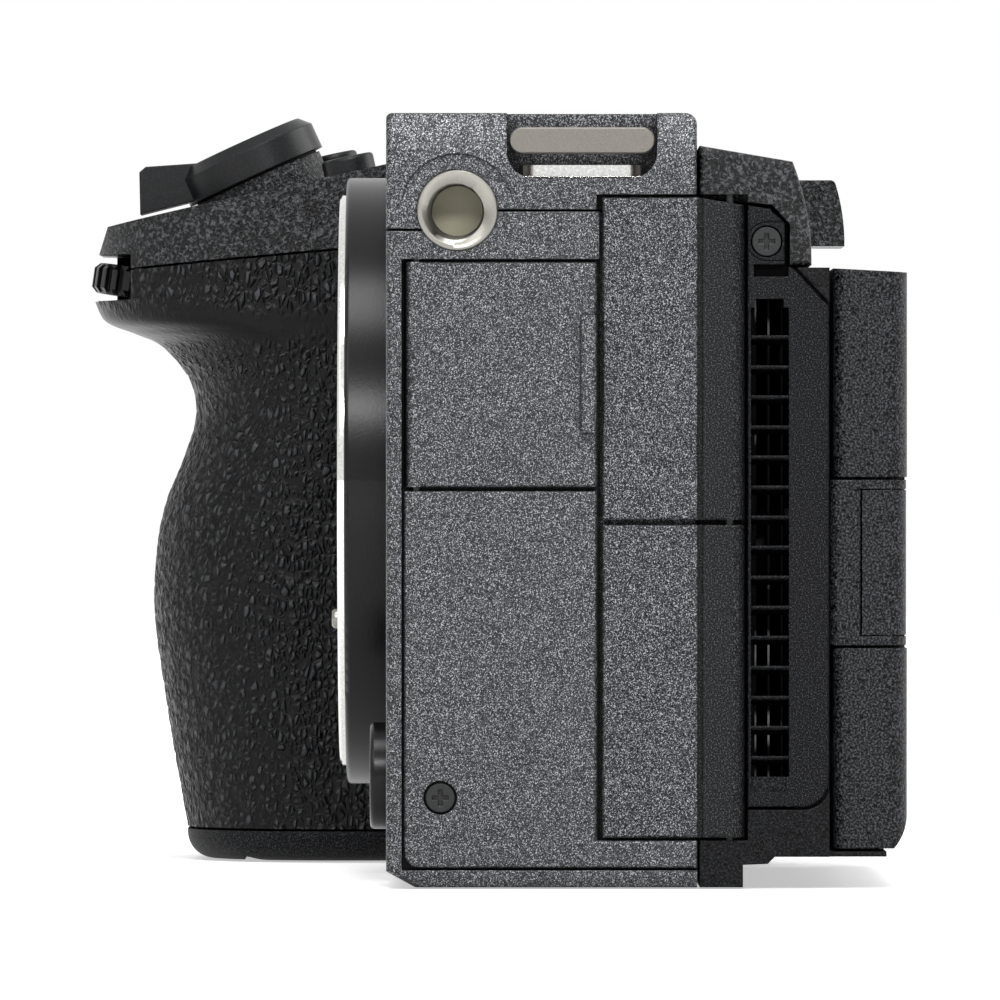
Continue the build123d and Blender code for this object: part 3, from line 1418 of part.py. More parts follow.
# Card unit with two slots, and its door
with BuildPart() as card_slots:
    unit_x = (grip_outer_x + 2 * card_knuckle + gap + 0.1, grip_inner_x - 1.4)
    block(unit_x, card_unit_y, card_unit_z)
    slot_mid = (card_unit_y[0] + card_unit_y[1]) / 2
    slot_z_mid = (card_unit_z[0] + card_unit_z[1]) / 2
    for slot_y in (slot_mid - card_slot_pitch / 2, slot_mid + card_slot_pitch / 2):
        block(
            (unit_x[0] - 1, unit_x[0] + card_slot_size[0]),
            (slot_y - card_slot_size[1] / 2, slot_y + card_slot_size[1] / 2),
            (slot_z_mid - card_slot_size[2] / 2, slot_z_mid + card_slot_size[2] / 2),
            Mode.SUBTRACT,
        )
save(card_slots, "card_slots")

with BuildPart() as card_door:
    block((grip_outer_x, grip_outer_x + card_door_thick), (card_door_y[0], card_hinge[1]), card_door_z)
    chamfer(card_door.faces().sort_by(Axis.X)[0].edges(), 0.3)
    with BuildSketch(Plane.XY.offset(card_door_z[0])) as barrel:
        with Locations(card_hinge):
            Circle(card_knuckle)
    extrude(barrel.sketch, amount=card_door_z[1] - card_door_z[0])
    with BuildSketch(Plane.XY.offset(card_door_z[0] - 1)) as bore:
        with Locations(card_hinge):
            Circle(door_pin_radius + running)
    extrude(bore.sketch, amount=card_door_z[1] - card_door_z[0] + 2, mode=Mode.SUBTRACT)
    for groove in range(4):
        groove_z = 30 + groove * 2.2
        block(
            (grip_outer_x - 1, grip_outer_x + 0.4),
            (card_door_y[0] + 1.5, card_door_y[0] + 5.5),
            (groove_z, groove_z + 0.9),
            Mode.SUBTRACT,
        )
save(card_door, "card_door")

# Screen bracket: the fixed half of the hinge, with a lug above and below the arm
screen_mid_z = (hinge_z[0] + hinge_z[1]) / 2
arm_z = (hinge_z[0] + lug_plate_thick + knuckle_gap, hinge_z[1] - lug_plate_thick - knuckle_gap)
arm_front_y = hinge_pin_y - arm_half_thick
pin_spot = Location((hinge_pin_x, hinge_pin_y, 0))
with BuildPart() as screen_bracket:
    block(
        (arm_inner_x - 0.2, hinge_pin_x + arm_half_thick),
        (rear_face_y + press, arm_front_y - 0.15),
        hinge_z,
    )
    fillet(screen_bracket.edges().filter_by(Axis.Z).sort_by(Axis.X)[-2:].sort_by(Axis.Y)[0], 1.0)
    # Round recess in which the square corner of the arm turns
    arm_sweep = arm_half_thick * 2**0.5 + knuckle_gap
    rod(
        Plane.XY.offset(hinge_z[0] + lug_plate_thick).move(pin_spot),
        arm_sweep,
        hinge_z[1] - hinge_z[0] - 2 * lug_plate_thick,
        Mode.SUBTRACT,
    )
    for lug_low_z in (hinge_z[0], hinge_z[1] - lug_plate_thick):
        with BuildSketch(Plane.XY.offset(lug_low_z)) as lug:
            with Locations((hinge_pin_x, hinge_pin_y)):
                Circle(arm_half_thick)
            with Locations((hinge_pin_x, hinge_pin_y - arm_half_thick)):
                Rectangle(2 * arm_half_thick, 2 * arm_half_thick)
        extrude(lug.sketch, amount=lug_plate_thick)
        rod(
            Plane.XY.offset(lug_low_z - 1).move(pin_spot),
            hinge_pin_radius + press,
            lug_plate_thick + 2,
            Mode.SUBTRACT,
        )
save(screen_bracket, "screen_bracket")

# Screen arm: turns on the upright pin and carries the cross shaft of the screen
with BuildPart() as screen_arm:
    with BuildSketch(Plane.XY.offset(arm_z[0])) as arm_plan:
        with Locations(((arm_inner_x + hinge_pin_x + arm_half_thick) / 2, hinge_pin_y)):
            Rectangle(hinge_pin_x + arm_half_thick - arm_inner_x, 2 * arm_half_thick)
        fillet(arm_plan.vertices().sort_by(Axis.X)[-2:].sort_by(Axis.Y)[-1], arm_half_thick - 0.01)
    extrude(arm_plan.sketch, amount=arm_z[1] - arm_z[0])
    rod(Plane.XY.move(pin_spot), hinge_pin_radius + running, 60, Mode.SUBTRACT)
    rod(side_plane(arm_inner_x, hinge_pin_y, screen_mid_z), tilt_shaft_radius, -tilt_shaft_length)
save(screen_arm, "screen_arm")

# Screen shell: the slim monitor housing with a notch for its hinge
with BuildPart() as screen_shell:
    with BuildSketch(Plane.YZ.offset(screen_x[0])) as side_view:
        with BuildLine():
            foot = TangentArc(
                (screen_rear_y, screen_foot_z), (screen_rear_y - 1.37, screen_z[0]), tangent=(0, -1)
            )
            Line(foot @ 1, (screen_front_y, screen_z[0]))
            Line((screen_front_y, screen_z[0]), (screen_front_y, screen_z[1] + screen_top_rise))
            Line((screen_front_y, screen_z[1] + screen_top_rise), (screen_rear_y, screen_z[1]))
            Line((screen_rear_y, screen_z[1]), foot @ 0)
        make_face()
    extrude(side_view.sketch, amount=screen_x[1] - screen_x[0])
    with BuildSketch() as top_view:
        with Locations(((screen_x[0] + screen_x[1]) / 2, (screen_front_y + screen_rear_y) / 2)):
            Rectangle(screen_x[1] - screen_x[0], screen_rear_y - screen_front_y)
        fillet(top_view.vertices().sort_by(Axis.Y)[-2:].sort_by(Axis.X)[-1], screen_near_round)
        fillet(top_view.vertices().sort_by(Axis.Y)[:2].sort_by(Axis.X)[-1], screen_corner + 0.1)
        fillet(top_view.vertices().sort_by(Axis.X)[:2], screen_corner)
    extrude(top_view.sketch, amount=body_height, mode=Mode.INTERSECT)
    block(
        (arm_inner_x - 0.4, 50),
        (screen_front_y - 1, screen_rear_y + 1),
        (hinge_z[0] - gap, hinge_z[1] + gap),
        Mode.SUBTRACT,
    )
    rod(
        side_plane(arm_inner_x, hinge_pin_y, screen_mid_z),
        tilt_shaft_radius + running,
        -tilt_shaft_length - 0.5,
        Mode.SUBTRACT,
    )
    glass_x = (screen_x[0] + glass_margin[0], arm_inner_x - 2.6)
    glass_z = (screen_z[0] + glass_margin[1], screen_z[1] - glass_margin[1])
    block(
        (glass_x[0] - 0.1, glass_x[1] + 0.1),
        (screen_rear_y - glass_thick - 0.1, 40),
        (glass_z[0] - 0.1, glass_z[1] + 0.1),
        Mode.SUBTRACT,
    )
save(screen_shell, "screen_shell")

with BuildPart() as screen_glass:
    block(glass_x, (screen_rear_y - glass_thick - 0.1, screen_rear_y - 0.1), glass_z)
save(screen_glass, "screen_glass")

# Zoom lever: a ring about the release button with a thumb lever at its front
with BuildPart() as zoom_lever:
    rod(release_plane, release_ring_radius, release_ring_thick)
    top_rim = zoom_lever.faces().sort_by(Axis(release_plane.origin, release_plane.z_dir))[-1]
    chamfer(top_rim.edges(), 1.1)
    release_x = release_centre[0]
    side_plate(
        ((-43.4, 70.0), (-43.5, 74.6), (-42.8, 75.2), (-37.0, 75.6), (-36.0, 72.0), (-37.9, 71.4)),
        release_x - lever_width / 2,
        release_x + lever_width / 2,
    )
    rod(release_plane.offset(-1), release_ring_bore, 10, Mode.SUBTRACT)
save(zoom_lever, "zoom_lever")

with BuildPart() as shutter_button:
    rod(release_plane.offset(-1.5), release_ring_bore - 0.4, release_ring_thick + 1.2)
    with BuildSketch(release_plane.offset(release_ring_thick - 0.3)) as dish:
        Circle(release_ring_bore - 1.2)
    extrude(dish.sketch, amount=-0.5, taper=60, mode=Mode.SUBTRACT)
save(shutter_button, "shutter_button")


def top_button(name, place, size):
    """A round button that stands out of the sloping cap."""
    with BuildPart() as button:
        spot = leaning_plane((place[0], place[1], cap_height(place[1])), cap_slope)
        rod(spot.offset(-2.2), size[0], size[1] + 2.2)
        crown = button.faces().sort_by(Axis((place[0], place[1], 0), spot.z_dir))[-1]
        fillet(crown.edges(), 0.4)
    save(button, name)


top_button("record_button", record_button_place, record_button_size)
top_button("iso_button", iso_button_place, iso_button_size)


def knurled_dial(name, plane, radius, thick, ribs):
    """A control dial: a disc with square grooves round its rim."""
    with BuildPart() as dial:
        rod(plane, radius, thick)
        chamfer(dial.edges(), dial_chamfer)
        with BuildSketch(plane.offset(-1)) as grooves:
            with PolarLocations(radius + 0.1, ribs):
                Rectangle(*dial_groove)
        extrude(grooves.sketch, amount=thick + 2, mode=Mode.SUBTRACT)
        rod(plane.offset(-1), dial_axle_radius + running, thick + 2, Mode.SUBTRACT)
    save(dial, name)


knurled_dial(
    "front_dial",
    dial_plane.offset(-front_dial_thick / 2),
    front_dial_radius,
    front_dial_thick,
    front_dial_ribs,
)
knurled_dial("rear_dial", rear_dial_plane, rear_dial_radius, rear_dial_thick, rear_dial_ribs)

# Axles of the two dials
with BuildPart() as dial_axles:
    front_half = front_dial_thick / 2 + 0.4
    rod(dial_plane.offset(-front_half - 1.9), dial_axle_radius, 2 * front_half + 3.8)
    rod(rear_dial_plane.offset(-2.3), dial_axle_radius, rear_dial_thick + 3.4)
save(dial_axles, "dial_axles")

# Power switch: a ribbed slider in its channel on the cap
with BuildPart() as power_switch:
    block(
        (switch_x - power_switch_size[0] / 2, switch_x + power_switch_size[0] / 2),
        (switch_y - power_switch_size[1] / 2, switch_y + power_switch_size[1] / 2),
        (cap_top_z - 1.0, cap_top_z - 1.0 + power_switch_size[2]),
    )
    fillet(power_switch.faces().sort_by(Axis.Z)[-1].edges(), 0.4)
    for groove in range(4):
        groove_x = switch_x - 2.4 + groove * 1.4
        block(
            (groove_x, groove_x + 0.5),
            (switch_y - 4, switch_y + 4),
            (cap_top_z + 1.0, cap_top_z + 3),
            Mode.SUBTRACT,
        )
save(power_switch, "power_switch")

# Pins of the connector doors, the card door, the battery door and the screen
with BuildPart() as hinge_pins:
    for spot, z in (
        (front_hinge, (panel_top_z - 2.0, front_door_z[1] + 2.0)),
        (rear_hinge, (lower_door_z[0] - 2.3, upper_door_z[1] + 1.8)),
        (card_hinge, (card_door_z[0] - 2.0, card_door_z[1] + 2.0)),
    ):
        rod(
            Plane(origin=(spot[0], spot[1], z[0]), x_dir=(1, 0, 0), z_dir=(0, 0, 1)),
            door_pin_radius,
            z[1] - z[0],
        )
    rod(
        Plane(origin=(hinge_pin_x, hinge_pin_y, hinge_z[0]), x_dir=(1, 0, 0), z_dir=(0, 0, 1)),
        hinge_pin_radius,
        hinge_z[1] - hinge_z[0],
    )
    rod(
        back_plane(battery_hinge[0], pin_run[0] + 0.1, battery_hinge[1]),
        door_pin_radius,
        pin_run[1] - pin_run[0] - 0.2,
    )
save(hinge_pins, "hinge_pins")

# Control wheel and its centre button
with BuildPart() as control_wheel:
    wheel_plane = back_plane(wheel_x, thumb_face_y + wheel_proud - wheel_thick, wheel_z)
    rod(wheel_plane, wheel_radius, wheel_thick)
    chamfer(control_wheel.faces().sort_by(Axis.Y)[-1].edges(), 0.5)
    rod(wheel_plane.offset(-1), wheel_bore, wheel_thick + 2, Mode.SUBTRACT)
    with BuildSketch(wheel_plane.offset(wheel_thick - 0.8)) as notches:
        with PolarLocations(wheel_radius, 40):
            Rectangle(1.2, 0.7)
    extrude(notches.sketch, amount=2, mode=Mode.SUBTRACT)
save(control_wheel, "control_wheel")

with BuildPart() as centre_button:
    rod(back_plane(wheel_x, thumb_face_y - 2.9, wheel_z), centre_button_radius, 3.6)
    fillet(centre_button.faces().sort_by(Axis.Y)[-1].edges(), 0.5)
save(centre_button, "centre_button")

# Joystick: a stick on a gimbal ring
with BuildPart() as stick_gimbal:
    rod(back_plane(stick_x, thumb_face_y - 3.0, stick_z), stick_opening - gap, 1.0)
    rod(back_plane(stick_x, thumb_face_y - 4.0, stick_z), 2.3, 3.0, Mode.SUBTRACT)
save(stick_gimbal, "stick_gimbal")

with BuildPart() as joystick:
    rod(back_plane(stick_x, thumb_face_y - 3.1, stick_z), 1.6, 3.6)
    rod(back_plane(stick_x, thumb_face_y + 0.3, stick_z), stick_radius, 1.6)
    fillet(joystick.faces().sort_by(Axis.Y)[-1].edges(), 0.9)
save(joystick, "joystick")


def back_button(name, x, z):
    """A small round button on the thumb side."""
    with BuildPart() as button:
        rod(back_plane(x, thumb_face_y - 2.4, z), back_button_radius, 3.1)
        fillet(button.faces().sort_by(Axis.Y)[-1].edges(), 0.4)
    save(button, name)


back_button("menu_button", *menu_centre)
back_button("playback_button", *playback_centre)

# Lens release button, held by a flange behind the front wall, and the pin that it draws back
with BuildPart() as lens_release_button:
    rod(
        front_plane(button_x, front_y + wall + 0.3, button_z),
        lens_button_radius,
        wall + 0.3 + lens_button_proud,
    )
    fillet(lens_release_button.faces().sort_by(Axis.Y)[0].edges(), 0.5)
    rod(front_plane(button_x, front_y + wall + 1.2, button_z), lens_button_radius + 1.0, 0.9)
save(lens_release_button, "lens_release_button")

with BuildPart() as lens_lock_pin:
    rod(
        front_plane(lock_pin_x, lock_pin_back_y, lock_pin_z),
        lock_pin_radius,
        lock_pin_back_y - flange_front_y + lock_pin_proud,
    )
    fillet(lens_lock_pin.faces().sort_by(Axis.Y)[0].edges(), 0.4)
save(lens_lock_pin, "lens_lock_pin")
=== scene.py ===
import math

import bpy
import numpy as np
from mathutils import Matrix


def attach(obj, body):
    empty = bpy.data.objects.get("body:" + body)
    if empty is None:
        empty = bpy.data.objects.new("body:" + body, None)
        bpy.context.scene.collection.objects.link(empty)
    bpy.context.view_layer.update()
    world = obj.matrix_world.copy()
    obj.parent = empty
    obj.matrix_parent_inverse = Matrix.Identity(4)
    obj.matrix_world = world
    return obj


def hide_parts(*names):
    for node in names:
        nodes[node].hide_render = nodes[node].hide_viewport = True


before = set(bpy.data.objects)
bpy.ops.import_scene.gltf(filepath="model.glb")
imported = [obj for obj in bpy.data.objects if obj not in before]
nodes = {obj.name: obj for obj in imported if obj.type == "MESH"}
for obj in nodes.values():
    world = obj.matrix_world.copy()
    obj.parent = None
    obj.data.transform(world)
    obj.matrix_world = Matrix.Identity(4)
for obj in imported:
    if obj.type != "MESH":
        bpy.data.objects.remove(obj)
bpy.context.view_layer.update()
scene = bpy.context.scene

MM = 0.001


# Colours and nodes

# Sockets of the mix node: those for colours and those for plain numbers
COLOUR_FROM, COLOUR_TO, COLOUR_OUT = 6, 7, 2
NUMBER_FROM, NUMBER_TO, NUMBER_OUT = 2, 3, 0


def colour(code):
    """An sRGB hex colour as linear RGBA: c / 12.92 near black, ((c + 0.055) / 1.055) ** 2.4 above."""
    srgb = np.array([int(code[i : i + 2], 16) for i in (1, 3, 5)]) / 255
    linear = np.where(srgb <= 0.04045, srgb / 12.92, ((srgb + 0.055) / 1.055) ** 2.4)
    return (*linear.tolist(), 1.0)


def add(tree, kind, settings=None, inputs=None):
    """Adds a node of a kind. Settings are its own fields; inputs are values, or sockets to link from."""
    made = tree.nodes.new(kind)
    for name, value in (settings or {}).items():
        setattr(made, name, value)
    for key, value in (inputs or {}).items():
        if isinstance(value, bpy.types.NodeSocket):
            tree.links.new(value, made.inputs[key])
        else:
            made.inputs[key].default_value = value
    return made


def feed(tree, shader, sockets):
    """Links sockets to the shader's inputs of those names."""
    for name, socket in sockets.items():
        tree.links.new(socket, shader.inputs[name])


def maths(tree, operation, *values):
    """The result of a maths node on its values."""
    return add(tree, "ShaderNodeMath", {"operation": operation}, dict(enumerate(values))).outputs["Value"]


def remap(tree, value, source=(0.0, 1.0), target=(0.0, 1.0), way="LINEAR"):
    """A value carried over from one span to another and held at the ends."""
    inputs = {
        "Value": value,
        "From Min": source[0],
        "From Max": source[1],
        "To Min": target[0],
        "To Max": target[1],
    }
    return add(tree, "ShaderNodeMapRange", {"interpolation_type": way}, inputs).outputs["Result"]


def blend(tree, factor, first, second):
    """A colour that goes from the first to the second as the factor goes from 0 to 1."""
    inputs = {"Factor": factor, COLOUR_FROM: first, COLOUR_TO: second}
    return add(tree, "ShaderNodeMix", {"data_type": "RGBA"}, inputs).outputs[COLOUR_OUT]


def ramp(tree, factor, stops):
    """A colour ramp through (place, hex colour) stops."""
    stops = list(stops)
    made = add(tree, "ShaderNodeValToRGB", None, {"Fac": factor})
    elements = made.color_ramp.elements
    while len(elements) < len(stops):
        elements.new(0.5)
    for element, (place, code) in zip(elements, stops):
        element.position = place
        element.color = colour(code)
    return made.outputs["Color"]


def axes_of(tree, place):
    """The X, Y and Z of the coordinates, one socket each."""
    return add(tree, "ShaderNodeSeparateXYZ", None, {"Vector": place}).outputs


def stored_number(tree, name):
    """The number that was stored at each point of the mesh under a name."""
    return add(tree, "ShaderNodeAttribute", {"attribute_name": name}).outputs["Fac"]


def start_material(name, finish):
    """A new node material with its shader set from plain numbers, and the object coordinates of the piece."""
    material = bpy.data.materials.new(name)
    material.use_nodes = True
    tree = material.node_tree
    tree.nodes.clear()
    shader = add(tree, "ShaderNodeBsdfPrincipled", None, finish)
    add(tree, "ShaderNodeOutputMaterial", None, {"Surface": shader.outputs["BSDF"]})
    place = add(tree, "ShaderNodeTexCoord").outputs["Object"]
    return material, tree, shader, place


def per_mm(size):
    """The scale of a texture whose cells are to be this many millimetres across, in coordinates of metres."""
    return 1.0 / (size * MM)


def noise(tree, place, size, detail=2.0, roughness=0.5, distortion=0.0):
    """Soft noise with grains of a size in millimetres."""
    inputs = {
        "Vector": place,
        "Scale": per_mm(size),
        "Detail": detail,
        "Roughness": roughness,
        "Distortion": distortion,
    }
    return add(tree, "ShaderNodeTexNoise", {"noise_dimensions": "3D"}, inputs).outputs["Fac"]


def cells(tree, place, size, **settings):
    """A pattern of cells of a size in millimetres, one about each seed point."""
    return add(tree, "ShaderNodeTexVoronoi", settings, {"Vector": place, "Scale": per_mm(size)}).outputs


def worn_edge(tree, radius):
    """The surface's direction with its sharp edges rounded off by a radius in millimetres."""
    return add(tree, "ShaderNodeBevel", {"samples": 4}, {"Radius": radius * MM}).outputs["Normal"]


def relief(tree, height, depth, under=None):
    """A bump of a depth in millimetres, laid over another surface direction."""
    inputs = {"Height": height, "Distance": depth * MM, "Strength": 1.0}
    if under is not None:
        inputs["Normal"] = under
    return add(tree, "ShaderNodeBump", None, inputs).outputs["Normal"]


# How open to the sky a corner is where its painted shade is darkest and where it has none
CORNER_SHADE_OPENNESS = (0.35, 0.95)

# The shine of a surface outside a deep recess and inside it, where painted shade dims it
RECESS_SHADE_SHINE = (0.08, 0.02)


def painted_corner_shade(tree, base, reach):
    """A colour that goes dark in grooves and inner corners, within a reach in millimetres: painted shade,
    where less light reaches."""
    reached = {"Distance": reach * MM}
    openness = add(tree, "ShaderNodeAmbientOcclusion", {"samples": 4}, reached).outputs["AO"]
    return blend(tree, remap(tree, openness, source=CORNER_SHADE_OPENNESS), colour("#060607"), base)


def painted_recess_shade(tree, place, base, box):
    """Painted shade: a colour and a shine that go down to black inside a box of coordinates round a deep
    recess, given in millimetres as a middle and a half size along X and along Y."""
    axes = axes_of(tree, place)
    spans = zip("XY", box)
    inside = [maths(tree, "COMPARE", axes[axis], middle * MM, half * MM) for axis, (middle, half) in spans]
    within = maths(tree, "MULTIPLY", *inside)
    shine = remap(tree, within, target=RECESS_SHADE_SHINE)
    return blend(tree, within, base, colour("#020202")), shine


# Finishes

# Refractive indices of plastic or rubber and of glass
PLASTIC_INDEX = 1.5
GLASS_INDEX = 1.52

# The sprayed paint, sizes in mm: its tone is shared between flakes and ground, and its corners get painted
# shade
PAINT_ROUGHNESS = 0.44
PAINT_METAL = 0.5
PAINT_EDGE = 0.22
FLAKE_SIZE = 0.095
FLAKE_SHARE = 0.7
CORNER_SHADE_REACH = 1.6

# How far back along Y, in mm, a connector door's sprayed part reaches
DOOR_SPLIT_Y = 15.7
DOOR_REAR_ROUGHNESS = 0.5

# The small pebbles of the rubber and the pits of the eroded plastic, sizes in mm
PEBBLE_WIDTH = 0.72
PEBBLE_FLATTENING = (1.0, 1.0, 0.58)
PIT_GAP = 0.85
PIT_SHARE = 0.55

# How much smoother and rougher than its mean a metal gets along its marks
MARK_SPREAD = (0.8, 1.25)


def flake_paint(tree, place):
    """The colour of a sprayed metallic paint, with flakes of 0.1 mm over a mottled ground, and the height of
    its slight pebbles."""
    flakes = cells(tree, place, FLAKE_SIZE, feature="F1")["Color"]
    flake_tone = add(tree, "ShaderNodeSeparateColor", None, {"Color": flakes}).outputs["Red"]
    ground = noise(tree, place, 0.2, roughness=0.6)
    flake_part = maths(tree, "MULTIPLY", flake_tone, FLAKE_SHARE)
    tone = maths(tree, "MULTIPLY_ADD", ground, 1 - FLAKE_SHARE, flake_part)
    base = ramp(tree, tone, ((0.2, "#0a0b0c"), (0.45, "#2b2c2f"), (0.65, "#404144"), (0.88, "#a2a3a6")))
    # The paint goes dark in its grooves and corners as painted shade
    return painted_corner_shade(tree, base, CORNER_SHADE_REACH), noise(tree, place, 0.5, roughness=0.55)


def sprayed_magnesium():
    """Die-cast magnesium under a sprayed metallic paint: flakes glint in a mid-grey, slightly pebbled
    ground."""
    finish = {"Metallic": PAINT_METAL, "Roughness": PAINT_ROUGHNESS, "Specular IOR Level": 0.3}
    material, tree, shader, place = start_material("sprayed_magnesium", finish)
    base, pebbles = flake_paint(tree, place)
    skin = relief(tree, pebbles, 0.05, worn_edge(tree, PAINT_EDGE))
    feed(tree, shader, {"Base Color": base, "Normal": skin})
    return material


def moulded_abs(name, tones, roughness, grain, depth, level=0.09, shade_box=None):
    """Spark-eroded moulded ABS: a fine matt grain with small pits, with painted shade in the pits and a
    painted highlight on the tops of the grain, and painted shade that turns it black in its deep recess. Its
    tones run from the pits to the tops."""
    finish = {"Roughness": roughness, "Specular IOR Level": level, "IOR": PLASTIC_INDEX}
    material, tree, shader, place = start_material(name, finish)
    fine = noise(tree, place, grain, roughness=0.6)
    # The grain's tone follows its height: painted shade in the pits, painted highlight on the tops
    base = ramp(tree, fine, zip((0.36, 0.52, 0.7), tones))
    if shade_box:
        # Painted shade: black and without shine inside the deep recess
        base, shine = painted_recess_shade(tree, place, base, shade_box)
        feed(tree, shader, {"Specular IOR Level": shine})
    feed(tree, shader, {"Base Color": base, "Normal": relief(tree, fine, depth, worn_edge(tree, 0.2))})
    return material


def two_part_door():
    """A moulded connector door: its front part is sprayed as the casting is, its rear edge is left as black
    moulded ABS behind a groove."""
    material, tree, shader, place = start_material("two_part_door", {"Specular IOR Level": 0.12})
    behind = maths(tree, "GREATER_THAN", axes_of(tree, place)["Y"], DOOR_SPLIT_Y * MM)
    painted, pebbles = flake_paint(tree, place)
    fine = noise(tree, place, 0.15, roughness=0.6)
    # The plain part's tone follows the grain's height: painted shade in the pits, painted highlight on the
    # tops
    plain = ramp(tree, fine, ((0.36, "#020202"), (0.52, "#0c0d0e"), (0.7, "#4c4d50")))
    heights = {"Factor": behind, NUMBER_FROM: pebbles, NUMBER_TO: fine}
    height = add(tree, "ShaderNodeMix", {"data_type": "FLOAT"}, heights).outputs[NUMBER_OUT]
    rougher = DOOR_REAR_ROUGHNESS - PAINT_ROUGHNESS
    sockets = {
        "Base Color": blend(tree, behind, painted, plain),
        "Metallic": maths(tree, "MULTIPLY_ADD", behind, -PAINT_METAL, PAINT_METAL),
        "Roughness": maths(tree, "MULTIPLY_ADD", behind, rougher, PAINT_ROUGHNESS),
        "Normal": relief(tree, height, 0.045, worn_edge(tree, PAINT_EDGE)),
    }
    feed(tree, shader, sockets)
    return material


def pebbled_rubber():
    """Moulded grip rubber with a hide grain: the broad pebbles are in the skin's shape, and the material
    adds the small upright ones on them, 0.7 mm wide and 1.2 mm tall. Its colour follows their height: dark
    creases as painted shade, paler tops as painted highlight, and the band under the nose darker as painted
    shade."""
    finish = {"Roughness": 0.36, "Specular IOR Level": 0.15, "IOR": PLASTIC_INDEX}
    material, tree, shader, place = start_material("pebbled_rubber", finish)
    crowns = stored_number(tree, "pebble_height_and_shade")
    flattened = {0: place, 1: PEBBLE_FLATTENING}
    upright = add(tree, "ShaderNodeVectorMath", {"operation": "MULTIPLY"}, flattened).outputs["Vector"]
    to_crease = cells(tree, upright, PEBBLE_WIDTH, feature="DISTANCE_TO_EDGE")["Distance"]
    domes = remap(tree, to_crease, source=(0.01, 0.3), way="SMOOTHSTEP")
    height = maths(tree, "MULTIPLY", domes, crowns)
    pores = noise(tree, place, 0.3, roughness=0.6)
    tone = maths(tree, "MULTIPLY_ADD", pores, 0.3, height)
    # Painted shade in the creases and in the band under the nose, painted highlight on the pebble tops
    base = ramp(tree, tone, ((0.2, "#010101"), (0.55, "#101112"), (1.0, "#37383b")))
    feed(tree, shader, {"Base Color": base, "Normal": relief(tree, height, 0.26)})
    return material


def grained_cover():
    """Moulded ABS with a fine leather grain of 0.4 mm wrinkles, with painted highlights on their tops and
    painted shade between.
    """
    finish = {"Roughness": 0.34, "Specular IOR Level": 0.17, "IOR": PLASTIC_INDEX}
    material, tree, shader, place = start_material("grained_cover", finish)
    wrinkles = noise(tree, place, 0.42, roughness=0.6, distortion=0.6)
    # Painted shade between the wrinkles and painted highlights on their tops
    base = ramp(tree, wrinkles, ((0.36, "#010102"), (0.5, "#0d0e0f"), (0.66, "#48494c")))
    feed(tree, shader, {"Base Color": base, "Normal": relief(tree, wrinkles, 0.24, worn_edge(tree, 0.25))})
    return material


def pitted_abs(name, tones, roughness, shade_box=None):
    """Moulded polycarbonate and ABS with a coarse eroded skin: satin, with scattered pits painted near black
    as painted shade, each with a tiny light on its lip, paler tops as a painted highlight, and painted shade
    that turns it black in its deep recess. Its tones run from the pits' lips to the tops."""
    finish = {"Roughness": roughness, "Specular IOR Level": 0.1, "IOR": PLASTIC_INDEX}
    material, tree, shader, place = start_material(name, finish)
    from_pit = cells(tree, place, PIT_GAP, feature="F1")["Distance"]
    pits = remap(tree, from_pit, source=(0.08, 0.24))
    fine = noise(tree, place, 0.22, roughness=0.6)
    fine_part = maths(tree, "MULTIPLY", fine, 1 - PIT_SHARE)
    height = maths(tree, "MULTIPLY_ADD", pits, PIT_SHARE, fine_part)
    # The skin's tone follows its height: painted shade in the pits, painted highlight on the tops
    base = ramp(tree, height, ((0.25, "#010102"), *zip((0.68, 0.76, 0.86), tones)))
    if shade_box:
        # Painted shade: black and without shine inside the deep recess
        base, shine = painted_recess_shade(tree, place, base, shade_box)
        feed(tree, shader, {"Specular IOR Level": shine})
    feed(tree, shader, {"Base Color": base, "Normal": relief(tree, height, 0.14, worn_edge(tree, 0.25))})
    return material


def turned_metal(name, tones, roughness, ring=0.12, depth=0.006):
    """Bare or plated metal from the lathe or the brush: fine marks vary its shine and its tone, from dark to
    pale."""
    material, tree, shader, place = start_material(name, {"Metallic": 1.0})
    marks = noise(tree, place, ring)
    sockets = {
        "Roughness": remap(tree, marks, target=[roughness * share for share in MARK_SPREAD]),
        "Base Color": ramp(tree, marks, zip((0.3, 0.7), tones)),
        "Normal": relief(tree, marks, depth, worn_edge(tree, 0.15)),
    }
    feed(tree, shader, sockets)
    return material


def threaded_steel():
    """Nickelled steel at the rim of a threaded insert that turns to oily brown machined steel at its
    floor."""
    material, tree, shader, place = start_material("threaded_steel", {"Metallic": 1.0})
    deep = stored_number(tree, "bore_depth")
    marks = noise(tree, place, 0.3, detail=3.0, roughness=0.6)
    tone = maths(tree, "MULTIPLY_ADD", marks, 0.12, deep)
    stops = ((0.06, "#8b8983"), (0.3, "#66645c"), (0.9, "#4b493f"), (1.0, "#959180"))
    sockets = {
        "Base Color": ramp(tree, tone, stops),
        "Roughness": remap(tree, deep, target=(0.28, 0.6)),
        "Normal": relief(tree, marks, 0.01, worn_edge(tree, 0.12)),
    }
    feed(tree, shader, sockets)
    return material


def anodised_fins():
    """Black anodised fins with pale bare-metal patches at random places, as painted highlights on the fins.
    """
    material, tree, shader, place = start_material("anodised_fins", {"Metallic": 1.0, "Roughness": 0.4})
    glint_patches = noise(tree, place, 4.5, detail=1.0, roughness=0.4)
    # Pale metal patches at random: painted highlights, standing in for fins that catch the light in some
    # slots
    base = ramp(tree, glint_patches, ((0.57, "#0b0b0c"), (0.64, "#5c5c5c")))
    feed(tree, shader, {"Base Color": base, "Normal": relief(tree, glint_patches, 0.01)})
    return material


